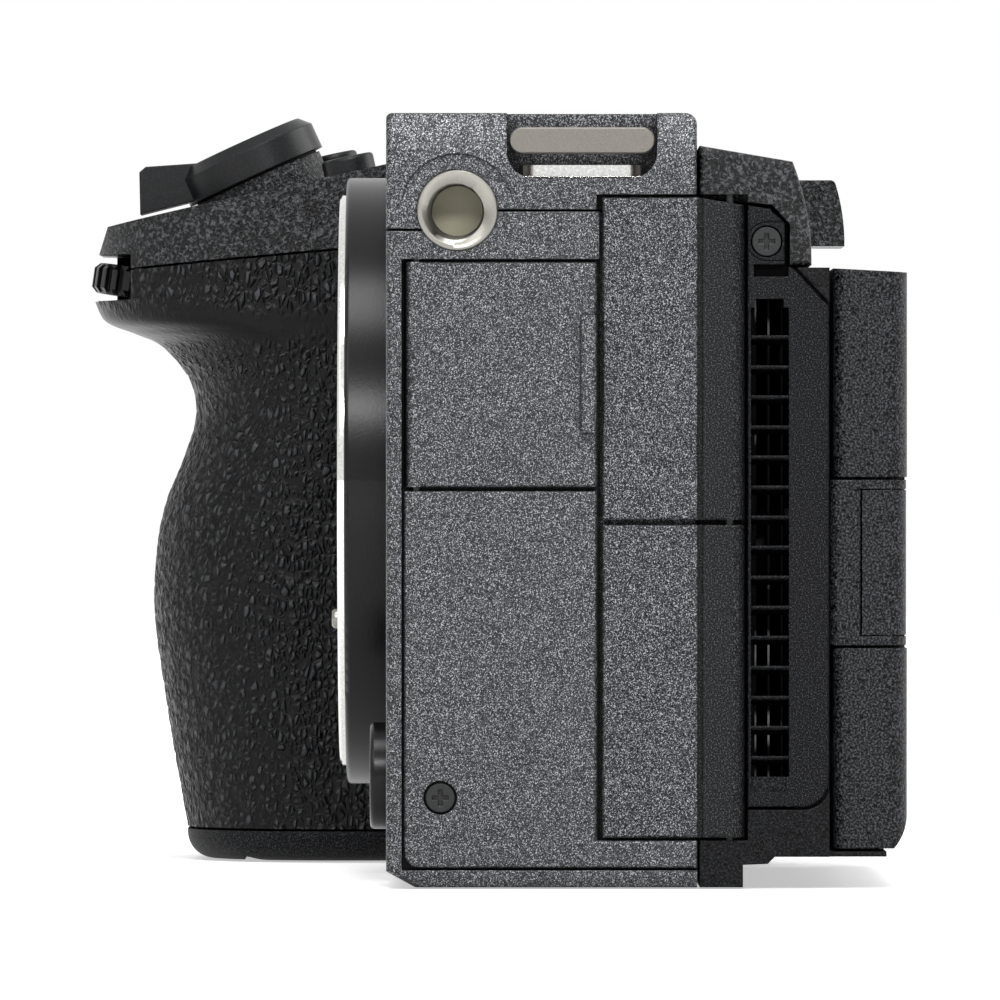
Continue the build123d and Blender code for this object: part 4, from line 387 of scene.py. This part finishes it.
def satin_black(name, tones, roughness, level, grain=0.2, depth=0.01):
    """Black anodised or painted metal with a very fine blasted grain, so it shows broad soft lights."""
    finish = {"Roughness": roughness, "Specular IOR Level": level}
    material, tree, shader, place = start_material(name, finish)
    fine = noise(tree, place, grain)
    base = ramp(tree, fine, zip((0.3, 0.7), tones))
    feed(tree, shader, {"Base Color": base, "Normal": relief(tree, fine, depth, worn_edge(tree, 0.18))})
    return material


def cover_glass(name, tones):
    """Cover glass over a dark panel: near black, with a coating that shifts it a little across the face."""
    finish = {"Roughness": 0.06, "Specular IOR Level": 0.5, "IOR": GLASS_INDEX, "Coat Weight": 0.4}
    material, tree, shader, place = start_material(name, finish)
    drift = noise(tree, place, 22, detail=1.0, roughness=0.4)
    base = ramp(tree, drift, zip((0.3, 0.7), tones))
    feed(tree, shader, {"Base Color": base, "Normal": relief(tree, drift, 0.01)})
    return material


def etched_board():
    """Glass-fibre circuit board under green solder mask, with its tracks as slightly raised cells."""
    finish = {"Roughness": 0.35, "Specular IOR Level": 0.5}
    material, tree, shader, place = start_material("etched_board", finish)
    tracks = cells(tree, place, 1.4, feature="F1", distance="CHEBYCHEV")["Distance"]
    base = ramp(tree, tracks, ((0.2, "#12351f"), (0.6, "#1b4a2c")))
    feed(tree, shader, {"Base Color": base, "Normal": relief(tree, tracks, 0.02)})
    return material


# Where the vent window and the step round it are deep, with painted shade: middle and half size in mm, along
# X and Y
VENT_SHADE_BOX = ((45.2, 2.0), (23.0, 4.0))
HOUSING_SHADE_BOX = ((43.0, 3.4), (22.9, 2.5))

MOULDED_TONES = ("#020203", "#0c0d0e", "#444548")
VENT_TONES = ("#010102", "#0a0b0c", "#3c3d40")
SMOOTH_TONES = ("#0c0d0e", "#131416", "#1b1c1e")
CORED_TONES = ("#0b0c0d", "#111213", "#17181a")
PITTED_TONES = ("#030304", "#0d0e0f", "#4a4b4e")
HOUSING_TONES = ("#020203", "#070708", "#242527")

PAINT = sprayed_magnesium()
DOOR = two_part_door()
MOULDED = moulded_abs("moulded_abs", MOULDED_TONES, 0.5, grain=0.15, depth=0.04)
VENT = moulded_abs("vent_abs", VENT_TONES, 0.5, grain=0.15, depth=0.04, shade_box=VENT_SHADE_BOX)
SMOOTH = moulded_abs("smooth_abs", SMOOTH_TONES, 0.32, grain=0.25, depth=0.012, level=0.2)
CORED = moulded_abs("inner_moulding", CORED_TONES, 0.62, grain=0.4, depth=0.03)
RUBBER = pebbled_rubber()
GRAINED = grained_cover()
PITTED = pitted_abs("pitted_abs", PITTED_TONES, 0.34)
HOUSING = pitted_abs("housing_abs", HOUSING_TONES, 0.38, shade_box=HOUSING_SHADE_BOX)
COLLAR = satin_black("anodised_collar", ("#040405", "#08090a"), 0.26, level=0.22)
DIAL = satin_black("anodised_dial", ("#0a0b0c", "#121315"), 0.3, level=0.25)
SCREW = satin_black("blackened_steel", ("#0b0c0d", "#17181a"), 0.32, level=0.35, grain=0.15, depth=0.012)
NICKEL = turned_metal("satin_nickel", ("#76746e", "#8b8983"), 0.3)
STRAP = turned_metal("brushed_steel", ("#676460", "#73706a"), 0.34)
THREADED = threaded_steel()
CHROME = turned_metal("polished_steel", ("#d2d2cf", "#e6e6e3"), 0.12, ring=0.3, depth=0.002)
SINK = anodised_fins()
GOLD = turned_metal("gold_plate", ("#b98f43", "#d9b25f"), 0.25)
SCREEN = cover_glass("screen_glass", ("#060607", "#0b0b0d"))
SENSOR = cover_glass("sensor_glass", ("#1a1024", "#10202a"))
BOARD = etched_board()

# What each node is made of

FINISHES = {
    PAINT: ("main_shell", "top_cover", "side_panel", "front_port_door"),
    DOOR: ("upper_port_door", "lower_port_door"),
    MOULDED: (
        "grip_frame",
        "base_plate",
        "battery",
        "battery_door",
        "battery_latch",
        "card_door",
        "power_switch",
    ),
    GRAINED: ("rear_top_cover", "grip_top_cap", "thumb_rest"),
    VENT: ("vent_cover",),
    HOUSING: ("rear_housing",),
    PITTED: ("screen_shell", "screen_bracket", "screen_arm"),
    SMOOTH: (
        "zoom_lever",
        "record_button",
        "iso_button",
        "centre_button",
        "menu_button",
        "playback_button",
        "stick_gimbal",
        "joystick",
    ),
    CORED: ("fan_housing", "fan_rotor", "sensor_frame", "card_slots", "audio_jacks"),
    RUBBER: ("grip_cover",),
    COLLAR: ("mount_collar", "lens_release_button", "shutter_button"),
    DIAL: ("front_dial", "rear_dial", "control_wheel"),
    SCREW: ("body_screws", "hinge_pins"),
    NICKEL: (
        "side_thread_insert",
        "top_thread_inserts",
        "tripod_socket",
        "hdmi_socket",
        "usb_sockets",
        "accessory_shoe",
        "mount_screws",
        "dial_axles",
        "lens_lock_pin",
    ),
    CHROME: ("lens_flange", "strap_lips"),
    SINK: ("heat_sink",),
    STRAP: ("strap_bars",),
    GOLD: ("mount_contacts",),
    SCREEN: ("screen_glass",),
    SENSOR: ("image_sensor",),
    BOARD: ("main_board",),
}
for finish, members in FINISHES.items():
    for member in members:
        mesh = nodes[member].data
        mesh.materials.clear()
        mesh.materials.append(finish)

# Pieces with a surface of their own

# Folds sharper than this stay sharp in the shading
FOLD_ANGLE = math.radians(38)

# The directions of the points on a turned ring
TURN = np.linspace(0, 2 * np.pi, 97)[:-1]


def place_piece(name, points, faces, finish, replaced=None):
    """Makes a mesh object from points in millimetres, sharp where it folds. It may take the place of a node.
    Gives back the mesh and the numbers of the points that it uses."""
    mesh = bpy.data.meshes.new(name)
    used, order = np.unique(np.concatenate([np.ravel(part) for part in faces]), return_inverse=True)
    starts = np.cumsum([0] + [np.size(part) for part in faces])
    listed = []
    for part, start in zip(faces, starts):
        listed += order[start : start + np.size(part)].reshape(np.shape(part)).tolist()
    mesh.from_pydata((points[used] * MM).tolist(), [], listed)
    mesh.polygons.foreach_set("use_smooth", np.ones(len(listed), bool))
    mesh.set_sharp_from_angle(angle=FOLD_ANGLE)
    mesh.materials.append(finish)
    piece = bpy.data.objects.new(name, mesh)
    scene.collection.objects.link(piece)
    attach(piece, "camera")
    if replaced:
        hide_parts(replaced)
    return mesh, used


def paint_points(mesh, name, values):
    """Stores a number at each point of a mesh, for its material to read."""
    stored = mesh.attributes.new(name, "FLOAT", "POINT")
    stored.data.foreach_set("value", values.astype(np.float32))


def grid_faces(rows, columns, closed=False):
    """Quads between neighbouring points of a grid that is stored row by row."""
    index = np.arange(rows * columns).reshape(rows, columns)
    if closed:
        index = np.column_stack((index, index[:, 0]))
    return np.stack((index[:-1, :-1], index[:-1, 1:], index[1:, 1:], index[1:, :-1]), -1).reshape(-1, 4)


def smooth_curve(stations, count):
    """Points on a curve through stations: cubic pieces over chord length, with slopes from the neighbours."""
    stations = np.array(stations, float)
    chord = np.concatenate(([0], np.cumsum(np.hypot(*np.diff(stations, axis=0).T))))
    slope = np.gradient(stations, chord, axis=0)
    along = np.linspace(0, chord[-1], count)
    piece = np.clip(np.searchsorted(chord, along, side="right") - 1, 0, len(chord) - 2)
    span = (chord[piece + 1] - chord[piece])[:, None]
    u = (along - chord[piece])[:, None] / span
    start = (2 * u**3 - 3 * u**2 + 1) * stations[piece] + (u**3 - 2 * u**2 + u) * span * slope[piece]
    end = (3 * u**2 - 2 * u**3) * stations[piece + 1] + (u**3 - u**2) * span * slope[piece + 1]
    return start + end


# Hide grain of the grip, sizes in mm. The seeds repeat after so many cubes, and the crease is a share of a
# pebble.
PEBBLE_SIZE = 1.3
PEBBLE_DEPTH = 0.18
PEBBLE_STRETCH = np.array((1, 1, 0.75))
PEBBLE_OFFSET = 300
SEED_REPEAT = 48
GRAIN_SEED = 7
CREASE_SHARE = 0.6

# Above this height the pebbles grow taller still
TALLER_FROM_Z, TALLER_BY = 57, 0.3

# The band under the nose, smoother and with painted shade: the middle of its height, its half height, how
# much it loses
BAND_Z, BAND_HALF, BAND_WEAR_AND_SHADE = 57.7, 2.4, 0.93


def pebble_crowns(places, size, random):
    """Height of a hide grain from 0 in the creases to 1 on the pebbles. One seed point lies at random in
    each cube of a grid; a crease runs wherever the two nearest seeds are equally far, and the height is
    1 - (1 - c) ** 3 with c the difference of the two distances over the crease's share."""
    shift = random.random((SEED_REPEAT, SEED_REPEAT, SEED_REPEAT, 3))
    scaled = places / size
    steps = np.stack(np.meshgrid(*[(-1, 0, 1)] * 3, indexing="ij"), -1).reshape(-1, 3)
    cubes = np.floor(scaled).astype(int)[:, None, :] + steps
    seeds = cubes + shift[tuple(np.moveaxis(cubes % SEED_REPEAT, -1, 0))]
    reach = np.sort(np.linalg.norm(seeds - scaled[:, None, :], axis=-1), axis=1)
    crown = np.clip((reach[:, 1] - reach[:, 0]) / CREASE_SHARE, 0, 1)
    return 1 - (1 - crown) ** 3


# The grip: its sides, the rounds of its two corners, its back, and its nose line as (Y, Z) stations
GRIP_X = (-81.7, -46.0)
GRIP_ROUND = (12.0, 16.0)
GRIP_BACK_Y = -11.0
GRIP_RIDGE = (
    (-38.2, 3.45),
    (-40.3, 15.4),
    (-41.85, 29.3),
    (-40.8, 38.0),
    (-38.4, 44.2),
    (-37.3, 48.5),
    (-38.0, 52.0),
    (-39.4, 54.0),
    (-41.4, 55.9),
    (-44.2, 57.1),
    (-47.4, 58.6),
    (-48.3, 60.5),
)

# The slot of the front dial: its wall and its floor, the seam over it and the pocket that the dial turns in.
# Close to the wall the grain is shallow.
SLOT_WALL_Y = -44.1
SLOT_FLOOR_Z = 60.66
SEAM_Y, SEAM_Z, SEAM_SLOPE = -44.0, 63.75, math.tan(math.radians(5.2))
DIAL_X, DIAL_HALF = -65.8, 8.05
POCKET_Y = -30
SLOT_MARGIN = 0.4
SLOT_GRAIN_DEPTH = 0.01

# How far the skin's borders fold inwards, and their first small step
RIM_WIDTH = 1.3
RIM_STEP = 0.08

# How many points the skin has along each stretch
OUTER_SIDE_POINTS = 66
INNER_SIDE_POINTS = 42
CORNER_POINTS = 78
NOSE_POINTS = 34
RIDGE_ROWS = 260
LEDGE_ROWS = 8
WALL_ROWS = 13
BORDER_ROWS = 2


def grip_outline():
    """The grip in plan, from the back along its outer side, round the nose and back along its inner side:
    the X of each point, how far a corner holds it back from the nose, and its share of the way forwards."""
    outer, inner = GRIP_X
    outer_round, inner_round = GRIP_ROUND
    turn = np.radians(np.linspace(0, 90, CORNER_POINTS))
    across = np.linspace(outer + outer_round, inner - inner_round, NOSE_POINTS)[1:-1]
    outer_side = np.linspace(0, 1, OUTER_SIDE_POINTS)[:-1]
    inner_side = np.linspace(1, 0, INNER_SIDE_POINTS)[1:]
    stretches = (
        (np.full(len(outer_side), outer), np.full(len(outer_side), outer_round), outer_side),
        (outer + outer_round * (1 - np.cos(turn)), outer_round * (1 - np.sin(turn)), np.ones(len(turn))),
        (across, 0 * across, np.ones(len(across))),
        (inner - inner_round * (1 - np.sin(turn)), inner_round * (1 - np.cos(turn)), np.ones(len(turn))),
        (np.full(len(inner_side), inner), np.full(len(inner_side), inner_round), inner_side),
    )
    return [np.concatenate(parts) for parts in zip(*stretches)]


def grip_surface():
    """The grip's outer surface as rows of points from its foot to its head. At each height its outline runs
    straight from the back, round a corner of 12 mm, across the nose, round a corner of 16 mm and straight to
    the back again, and the nose follows the ridge. Over the floor of the dial slot nothing stands further
    out than the slot's wall."""
    x, held_back, share = grip_outline()
    nose, height = smooth_curve(GRIP_RIDGE, RIDGE_ROWS).T
    y = GRIP_BACK_Y + share * (nose[:, None] + held_back - GRIP_BACK_Y)
    z = np.broadcast_to(height[:, None], y.shape)
    step = np.linspace(0, 1, LEDGE_ROWS + 1)[1:, None]
    ledge_y = y[-1] + step * (np.maximum(y[-1], SLOT_WALL_Y) - y[-1])
    ledge_z = height[-1] + step * (SLOT_FLOOR_Z - height[-1]) + 0 * ledge_y
    rise = np.linspace(0, 1, WALL_ROWS + 1)[1:, None]
    wall_y = ledge_y[-1] + 0 * rise
    top = SEAM_Z + (ledge_y[-1] - SEAM_Y) * SEAM_SLOPE
    wall_z = SLOT_FLOOR_Z + rise * (top - SLOT_FLOOR_Z)
    y = np.concatenate((y, ledge_y, wall_y))
    z = np.concatenate((z, ledge_z, wall_z))
    return np.stack((np.broadcast_to(x, y.shape), y, z), -1)


def folded(line, direction):
    """A border of the skin and a second line further in, both set back against its outward direction."""
    return line - direction * RIM_STEP, line - direction * RIM_WIDTH


def with_borders(points, outwards):
    """The skin's points with two more rows or columns at each border, where the skin folds inwards."""
    foot_near, foot_far = folded(points[0], outwards[0])
    head_near, head_far = folded(points[-1], outwards[-1])
    points = np.concatenate((foot_far[None], foot_near[None], points, head_near[None], head_far[None]))
    side_out = np.zeros_like(points[:, 0])
    side_out[:, 0] = -1
    start_near, start_far = folded(points[:, 0], side_out)
    end_near, end_far = folded(points[:, -1], -side_out)
    columns = (start_far[:, None], start_near[:, None], points, end_near[:, None], end_far[:, None])
    return np.concatenate(columns, axis=1)


def grip_skin():
    """The rubber skin of the grip: its hide pebbles are sunk between their creases, the band under the nose
    keeps 1 - 0.93 exp(-((z - 57.7) / 2.4) ** 4) of them, smoother and stored lower so that it takes painted
    shade, and all four borders fold inwards."""
    points = grip_surface()
    y, z = points[..., 1], points[..., 2]
    outwards = np.cross(np.gradient(points, axis=1), np.gradient(points, axis=0))
    outwards /= np.linalg.norm(outwards, axis=-1, keepdims=True)
    random = np.random.default_rng(GRAIN_SEED)
    stretched = points * PEBBLE_STRETCH + PEBBLE_OFFSET
    stretched[..., 2] -= TALLER_BY * np.clip(z - TALLER_FROM_Z, 0, None)
    crowns = pebble_crowns(stretched.reshape(-1, 3), PEBBLE_SIZE, random).reshape(y.shape)
    # Smoother and darker band under the nose: partly wear, partly painted shade from the overhang
    wear_and_shade = 1 - BAND_WEAR_AND_SHADE * np.exp(-(((z - BAND_Z) / BAND_HALF) ** 4))
    in_slot = (np.arange(len(y)) >= RIDGE_ROWS)[:, None] & (y < SLOT_WALL_Y + SLOT_MARGIN)
    depth = np.where(in_slot, SLOT_GRAIN_DEPTH, PEBBLE_DEPTH * wear_and_shade)
    sunk = points - outwards * (depth * (1 - crowns))[..., None]
    points = with_borders(sunk, outwards)
    crowns = np.pad(crowns * wear_and_shade, BORDER_ROWS, mode="edge")

    rows, columns = crowns.shape
    quads = grid_faces(rows, columns)
    flat = points.reshape(-1, 3)
    middle = flat[quads].mean(axis=1)
    on_wall = quads[:, 0] // columns >= BORDER_ROWS + RIDGE_ROWS + LEDGE_ROWS - 1
    open_pocket = on_wall & (np.abs(middle[:, 0] - DIAL_X) < DIAL_HALF) & (middle[:, 1] < POCKET_Y)
    mesh, used = place_piece("grip_skin", flat, [quads[~open_pocket]], RUBBER, "grip_cover")
    # The stored height also carries the band's painted shade into the rubber's colour
    paint_points(mesh, "pebble_height_and_shade", crowns.reshape(-1)[used])


grip_skin()

# A 1/4 inch thread of 20 turns to the inch, in mm: its pitch, its two radii, its floor and its start, the
# stretch over which it runs out, and the edges and radii of the inserts that hold it
THREAD_PITCH = 1.27
THREAD_LOW, THREAD_HIGH = 2.56, 3.12
THREAD_DEPTH = 6.5
THREAD_START = 0.45
THREAD_ROWS = 66
RUN_OUT = 0.6
FLOOR_RADIUS = 0.6
RIM_BREAK = 0.12
MOUTH_RADIUS = THREAD_HIGH + 0.42
INSERT_RADIUS = 4.03
SOCKET_RADIUS = 6.0


def threaded_insert(name, replaced, spots, outer, length):
    """Steel inserts for a 1/4 inch screw. A profile is turned about each axis: up the outside, over the rim,
    down a chamfer and along the bore, where the radius swings between the two thread radii once per pitch of
    depth and once per turn, which makes the helix; the floor closes it."""
    rim = ((length, outer), (RIM_BREAK, outer), (0, outer - RIM_BREAK), (0, MOUTH_RADIUS))
    bore = np.linspace(THREAD_START, THREAD_DEPTH, THREAD_ROWS)
    low = np.array([depth for depth, radius in rim] + bore.tolist() + [THREAD_DEPTH])
    wide = np.array([radius for depth, radius in rim] + [THREAD_LOW] * THREAD_ROWS + [FLOOR_RADIUS])
    swing = np.zeros(len(low))
    swing[len(rim) : -1] = np.clip((THREAD_DEPTH - bore) / RUN_OUT, 0, 1)
    phase = (low[:, None] / THREAD_PITCH - TURN / (2 * np.pi)) % 1
    radius = wide[:, None] + swing[:, None] * (THREAD_HIGH - THREAD_LOW) * np.abs(2 * phase - 1)
    points, quads, caps = [], [], []
    for mouth, axis in spots:
        along = np.array(axis, float)
        first = np.cross(along, (0, 1, 0) if abs(along[1]) < 0.5 else (1, 0, 0))
        second = np.cross(along, first)
        ring = np.cos(TURN)[:, None] * first + np.sin(TURN)[:, None] * second
        made = np.array(mouth) - low[:, None, None] * along + radius[..., None] * ring
        base = sum(len(part) for part in points)
        points.append(made.reshape(-1, 3))
        quads.append(grid_faces(len(low), len(TURN), closed=True) + base)
        last = base + (len(low) - 1) * len(TURN)
        caps.append(np.arange(last, last + len(TURN)))
        caps.append(np.arange(base, base + len(TURN))[::-1])
    faces = [np.concatenate(quads), np.stack(caps)]
    mesh, used = place_piece(name, np.concatenate(points), faces, THREADED, replaced)
    below_rim = np.where(np.arange(len(low)) < len(rim), 0, low)
    deep = np.clip(np.repeat(below_rim, len(TURN)) / THREAD_DEPTH, 0, 1)
    paint_points(mesh, "bore_depth", np.tile(deep, len(spots))[used])


SIDE_MOUTH = ((48.3, -8.5, 68.0), (1, 0, 0))
TOP_MOUTHS = (((27.0, 0.0, 77.8), (0, 0, 1)), ((-27.0, 0.0, 77.8), (0, 0, 1)))
BASE_MOUTH = ((0.0, 0.0, 0.0), (0, 0, -1))
threaded_insert("side_thread", "side_thread_insert", [SIDE_MOUTH], INSERT_RADIUS, length=8.2)
threaded_insert("top_threads", "top_thread_inserts", TOP_MOUTHS, INSERT_RADIUS, length=7.9)
threaded_insert("base_thread", "tripod_socket", [BASE_MOUTH], SOCKET_RADIUS, length=7.5)

# The closed end of the dial's slot in plan and in height, and the slope, the middle and the section of the
# lever's seal, in mm
SLOT_END_PLAN = ((-78.7, -44.0), (-76.4, -46.2), (-72.7, -46.2), (-74.0, -44.0))
SLOT_END_Z = (60.75, 65.45)
LEVER_SLOPE = math.radians(24.5)
LEVER_MIDDLE = np.array((-65.8, -30.8, 74.2))
SEAL_SECTION = ((5.4, -0.28), (7.1, -0.28), (7.1, -0.02), (5.4, -0.02))


def slot_end():
    """The closed end of the front dial's slot: an upright prism on a plan of four corners, between the
    slot's floor and its roof."""
    corners = len(SLOT_END_PLAN)
    points = np.column_stack((np.tile(SLOT_END_PLAN, (2, 1)), np.repeat(SLOT_END_Z, corners)))
    around = np.arange(corners)
    beside = np.roll(around, -1)
    walls = np.column_stack((around, beside, beside + corners, around + corners))
    faces = [walls, around[None, ::-1], around[None] + corners]
    place_piece("dial_slot_end", points, faces, MOULDED)


def ring_seal():
    """The felt ring under the zoom lever: a thin flat ring on the slope that the lever turns on."""
    up = np.array((0, -math.sin(LEVER_SLOPE), math.cos(LEVER_SLOPE)))
    forwards = np.array((0, math.cos(LEVER_SLOPE), math.sin(LEVER_SLOPE)))
    ring = np.cos(TURN)[:, None] * np.array((1, 0, 0)) + np.sin(TURN)[:, None] * forwards
    points = np.concatenate([LEVER_MIDDLE + radius * ring + lift * up for radius, lift in SEAL_SECTION])
    quads = grid_faces(len(SEAL_SECTION), len(TURN), closed=True)
    first = np.arange(len(TURN))
    last = (len(SEAL_SECTION) - 1) * len(TURN) + first
    closing = np.column_stack((last, np.roll(last, -1), np.roll(first, -1), first))
    place_piece("lever_seal", points, [quads, closing], CORED)


slot_end()
ring_seal()

# Camera: its place in mm, and its focal length in pixels of a photo that is so many pixels wide
EYE = (1348, -4.2, 38.9)
FOCAL_PIXELS = 12948
PHOTO_PIXELS = 1000
FILM_WIDTH = 36

camera_data = bpy.data.cameras.new("camera")
camera = bpy.data.objects.new("camera", camera_data)
scene.collection.objects.link(camera)
camera.location = [place * MM for place in EYE]
camera.rotation_euler = (math.radians(90), 0, math.radians(90))
camera_data.sensor_width = FILM_WIDTH
camera_data.lens = FOCAL_PIXELS / PHOTO_PIXELS * FILM_WIDTH
scene.camera = camera

# Lamps: name, place and size in metres, power in watts. All of them face the same point of the object.
LAMPS = (
    ("key_lamp", (0.8, -0.7, 0.85), (0.7, 0.7), 4),
    ("side_lamp", (1.05, 0.1, 0.6), (0.8, 0.15), 10),
    ("top_lamp", (0.35, 0.05, 1.05), (0.7, 0.4), 8),
    ("back_lamp", (-0.35, 1.1, 0.55), (0.9, 0.8), 7),
)
LAMP_AIM = (-0.01, 0.0, 0.04)


def soft_lamp(name, place, size, power):
    """An oblong soft light at a place, turned to the lamps' common point."""
    data = bpy.data.lights.new(name, "AREA")
    data.shape = "RECTANGLE"
    data.size, data.size_y = size
    data.energy = power
    lamp = bpy.data.objects.new(name, data)
    scene.collection.objects.link(lamp)
    lamp.location = place
    aim = np.array(LAMP_AIM) - np.array(place)
    lean = math.atan2(math.hypot(aim[0], aim[1]), -aim[2])
    lamp.rotation_euler = (lean, 0, math.atan2(aim[1], aim[0]) - math.pi / 2)


for lamp_facts in LAMPS:
    soft_lamp(*lamp_facts)

# The white surroundings: full white to the eye and in reflections, dim as a light on matt surfaces
AMBIENT = 0.3


def seen_directly(tree):
    """1 for camera, glossy and transmission rays, else 0."""
    path = add(tree, "ShaderNodeLightPath").outputs
    eye_or_gloss = maths(tree, "MAXIMUM", path["Is Camera Ray"], path["Is Glossy Ray"])
    return maths(tree, "MAXIMUM", eye_or_gloss, path["Is Transmission Ray"])


world = bpy.data.worlds.new("studio")
scene.world = world
world.use_nodes = True
sky = world.node_tree
sky.nodes.clear()
strength = maths(sky, "MULTIPLY_ADD", seen_directly(sky), 1 - AMBIENT, AMBIENT)
backdrop = add(sky, "ShaderNodeBackground", None, {"Color": (1, 1, 1, 1), "Strength": strength})
add(sky, "ShaderNodeOutputWorld", None, {"Surface": backdrop.outputs["Background"]})

# The floor: half its side and its height in metres. Its glow grows with the distance from the object, so
# that it fades into the white surroundings.
FLOOR_HALF = 3
FLOOR_Z = -0.0002
FLOOR_TONE = (0.8, 0.8, 0.8, 1)
GLOW_DISTANCE = (0.1, 0.5)
GLOW_STRENGTH = (0.5, 1.1)


def glowing_floor():
    """A pale matt floor with a soft contact shadow, which brightens to plain white away from the object."""
    material = bpy.data.materials.new("pale_floor")
    material.use_nodes = True
    tree = material.node_tree
    tree.nodes.clear()
    matt = add(tree, "ShaderNodeBsdfDiffuse", None, {"Color": FLOOR_TONE})
    spot = add(tree, "ShaderNodeTexCoord").outputs["Object"]
    distance = add(tree, "ShaderNodeVectorMath", {"operation": "LENGTH"}, {0: spot}).outputs["Value"]
    far_glow = remap(tree, distance, source=GLOW_DISTANCE, target=GLOW_STRENGTH)
    glow_strength = maths(tree, "MULTIPLY", seen_directly(tree), far_glow)
    glow = add(tree, "ShaderNodeEmission", None, {"Color": (1, 1, 1, 1), "Strength": glow_strength})
    both = add(tree, "ShaderNodeAddShader", None, {0: matt.outputs["BSDF"], 1: glow.outputs["Emission"]})
    add(tree, "ShaderNodeOutputMaterial", None, {"Surface": both.outputs["Shader"]})
    return material


floor_mesh = bpy.data.meshes.new("floor")
corners = [(x * FLOOR_HALF, y * FLOOR_HALF, FLOOR_Z) for x, y in ((-1, -1), (1, -1), (1, 1), (-1, 1))]
floor_mesh.from_pydata(corners, [], [(0, 1, 2, 3)])
floor_mesh.materials.append(glowing_floor())
floor = bpy.data.objects.new("floor", floor_mesh)
scene.collection.objects.link(floor)

scene.view_settings.view_transform = "Standard"
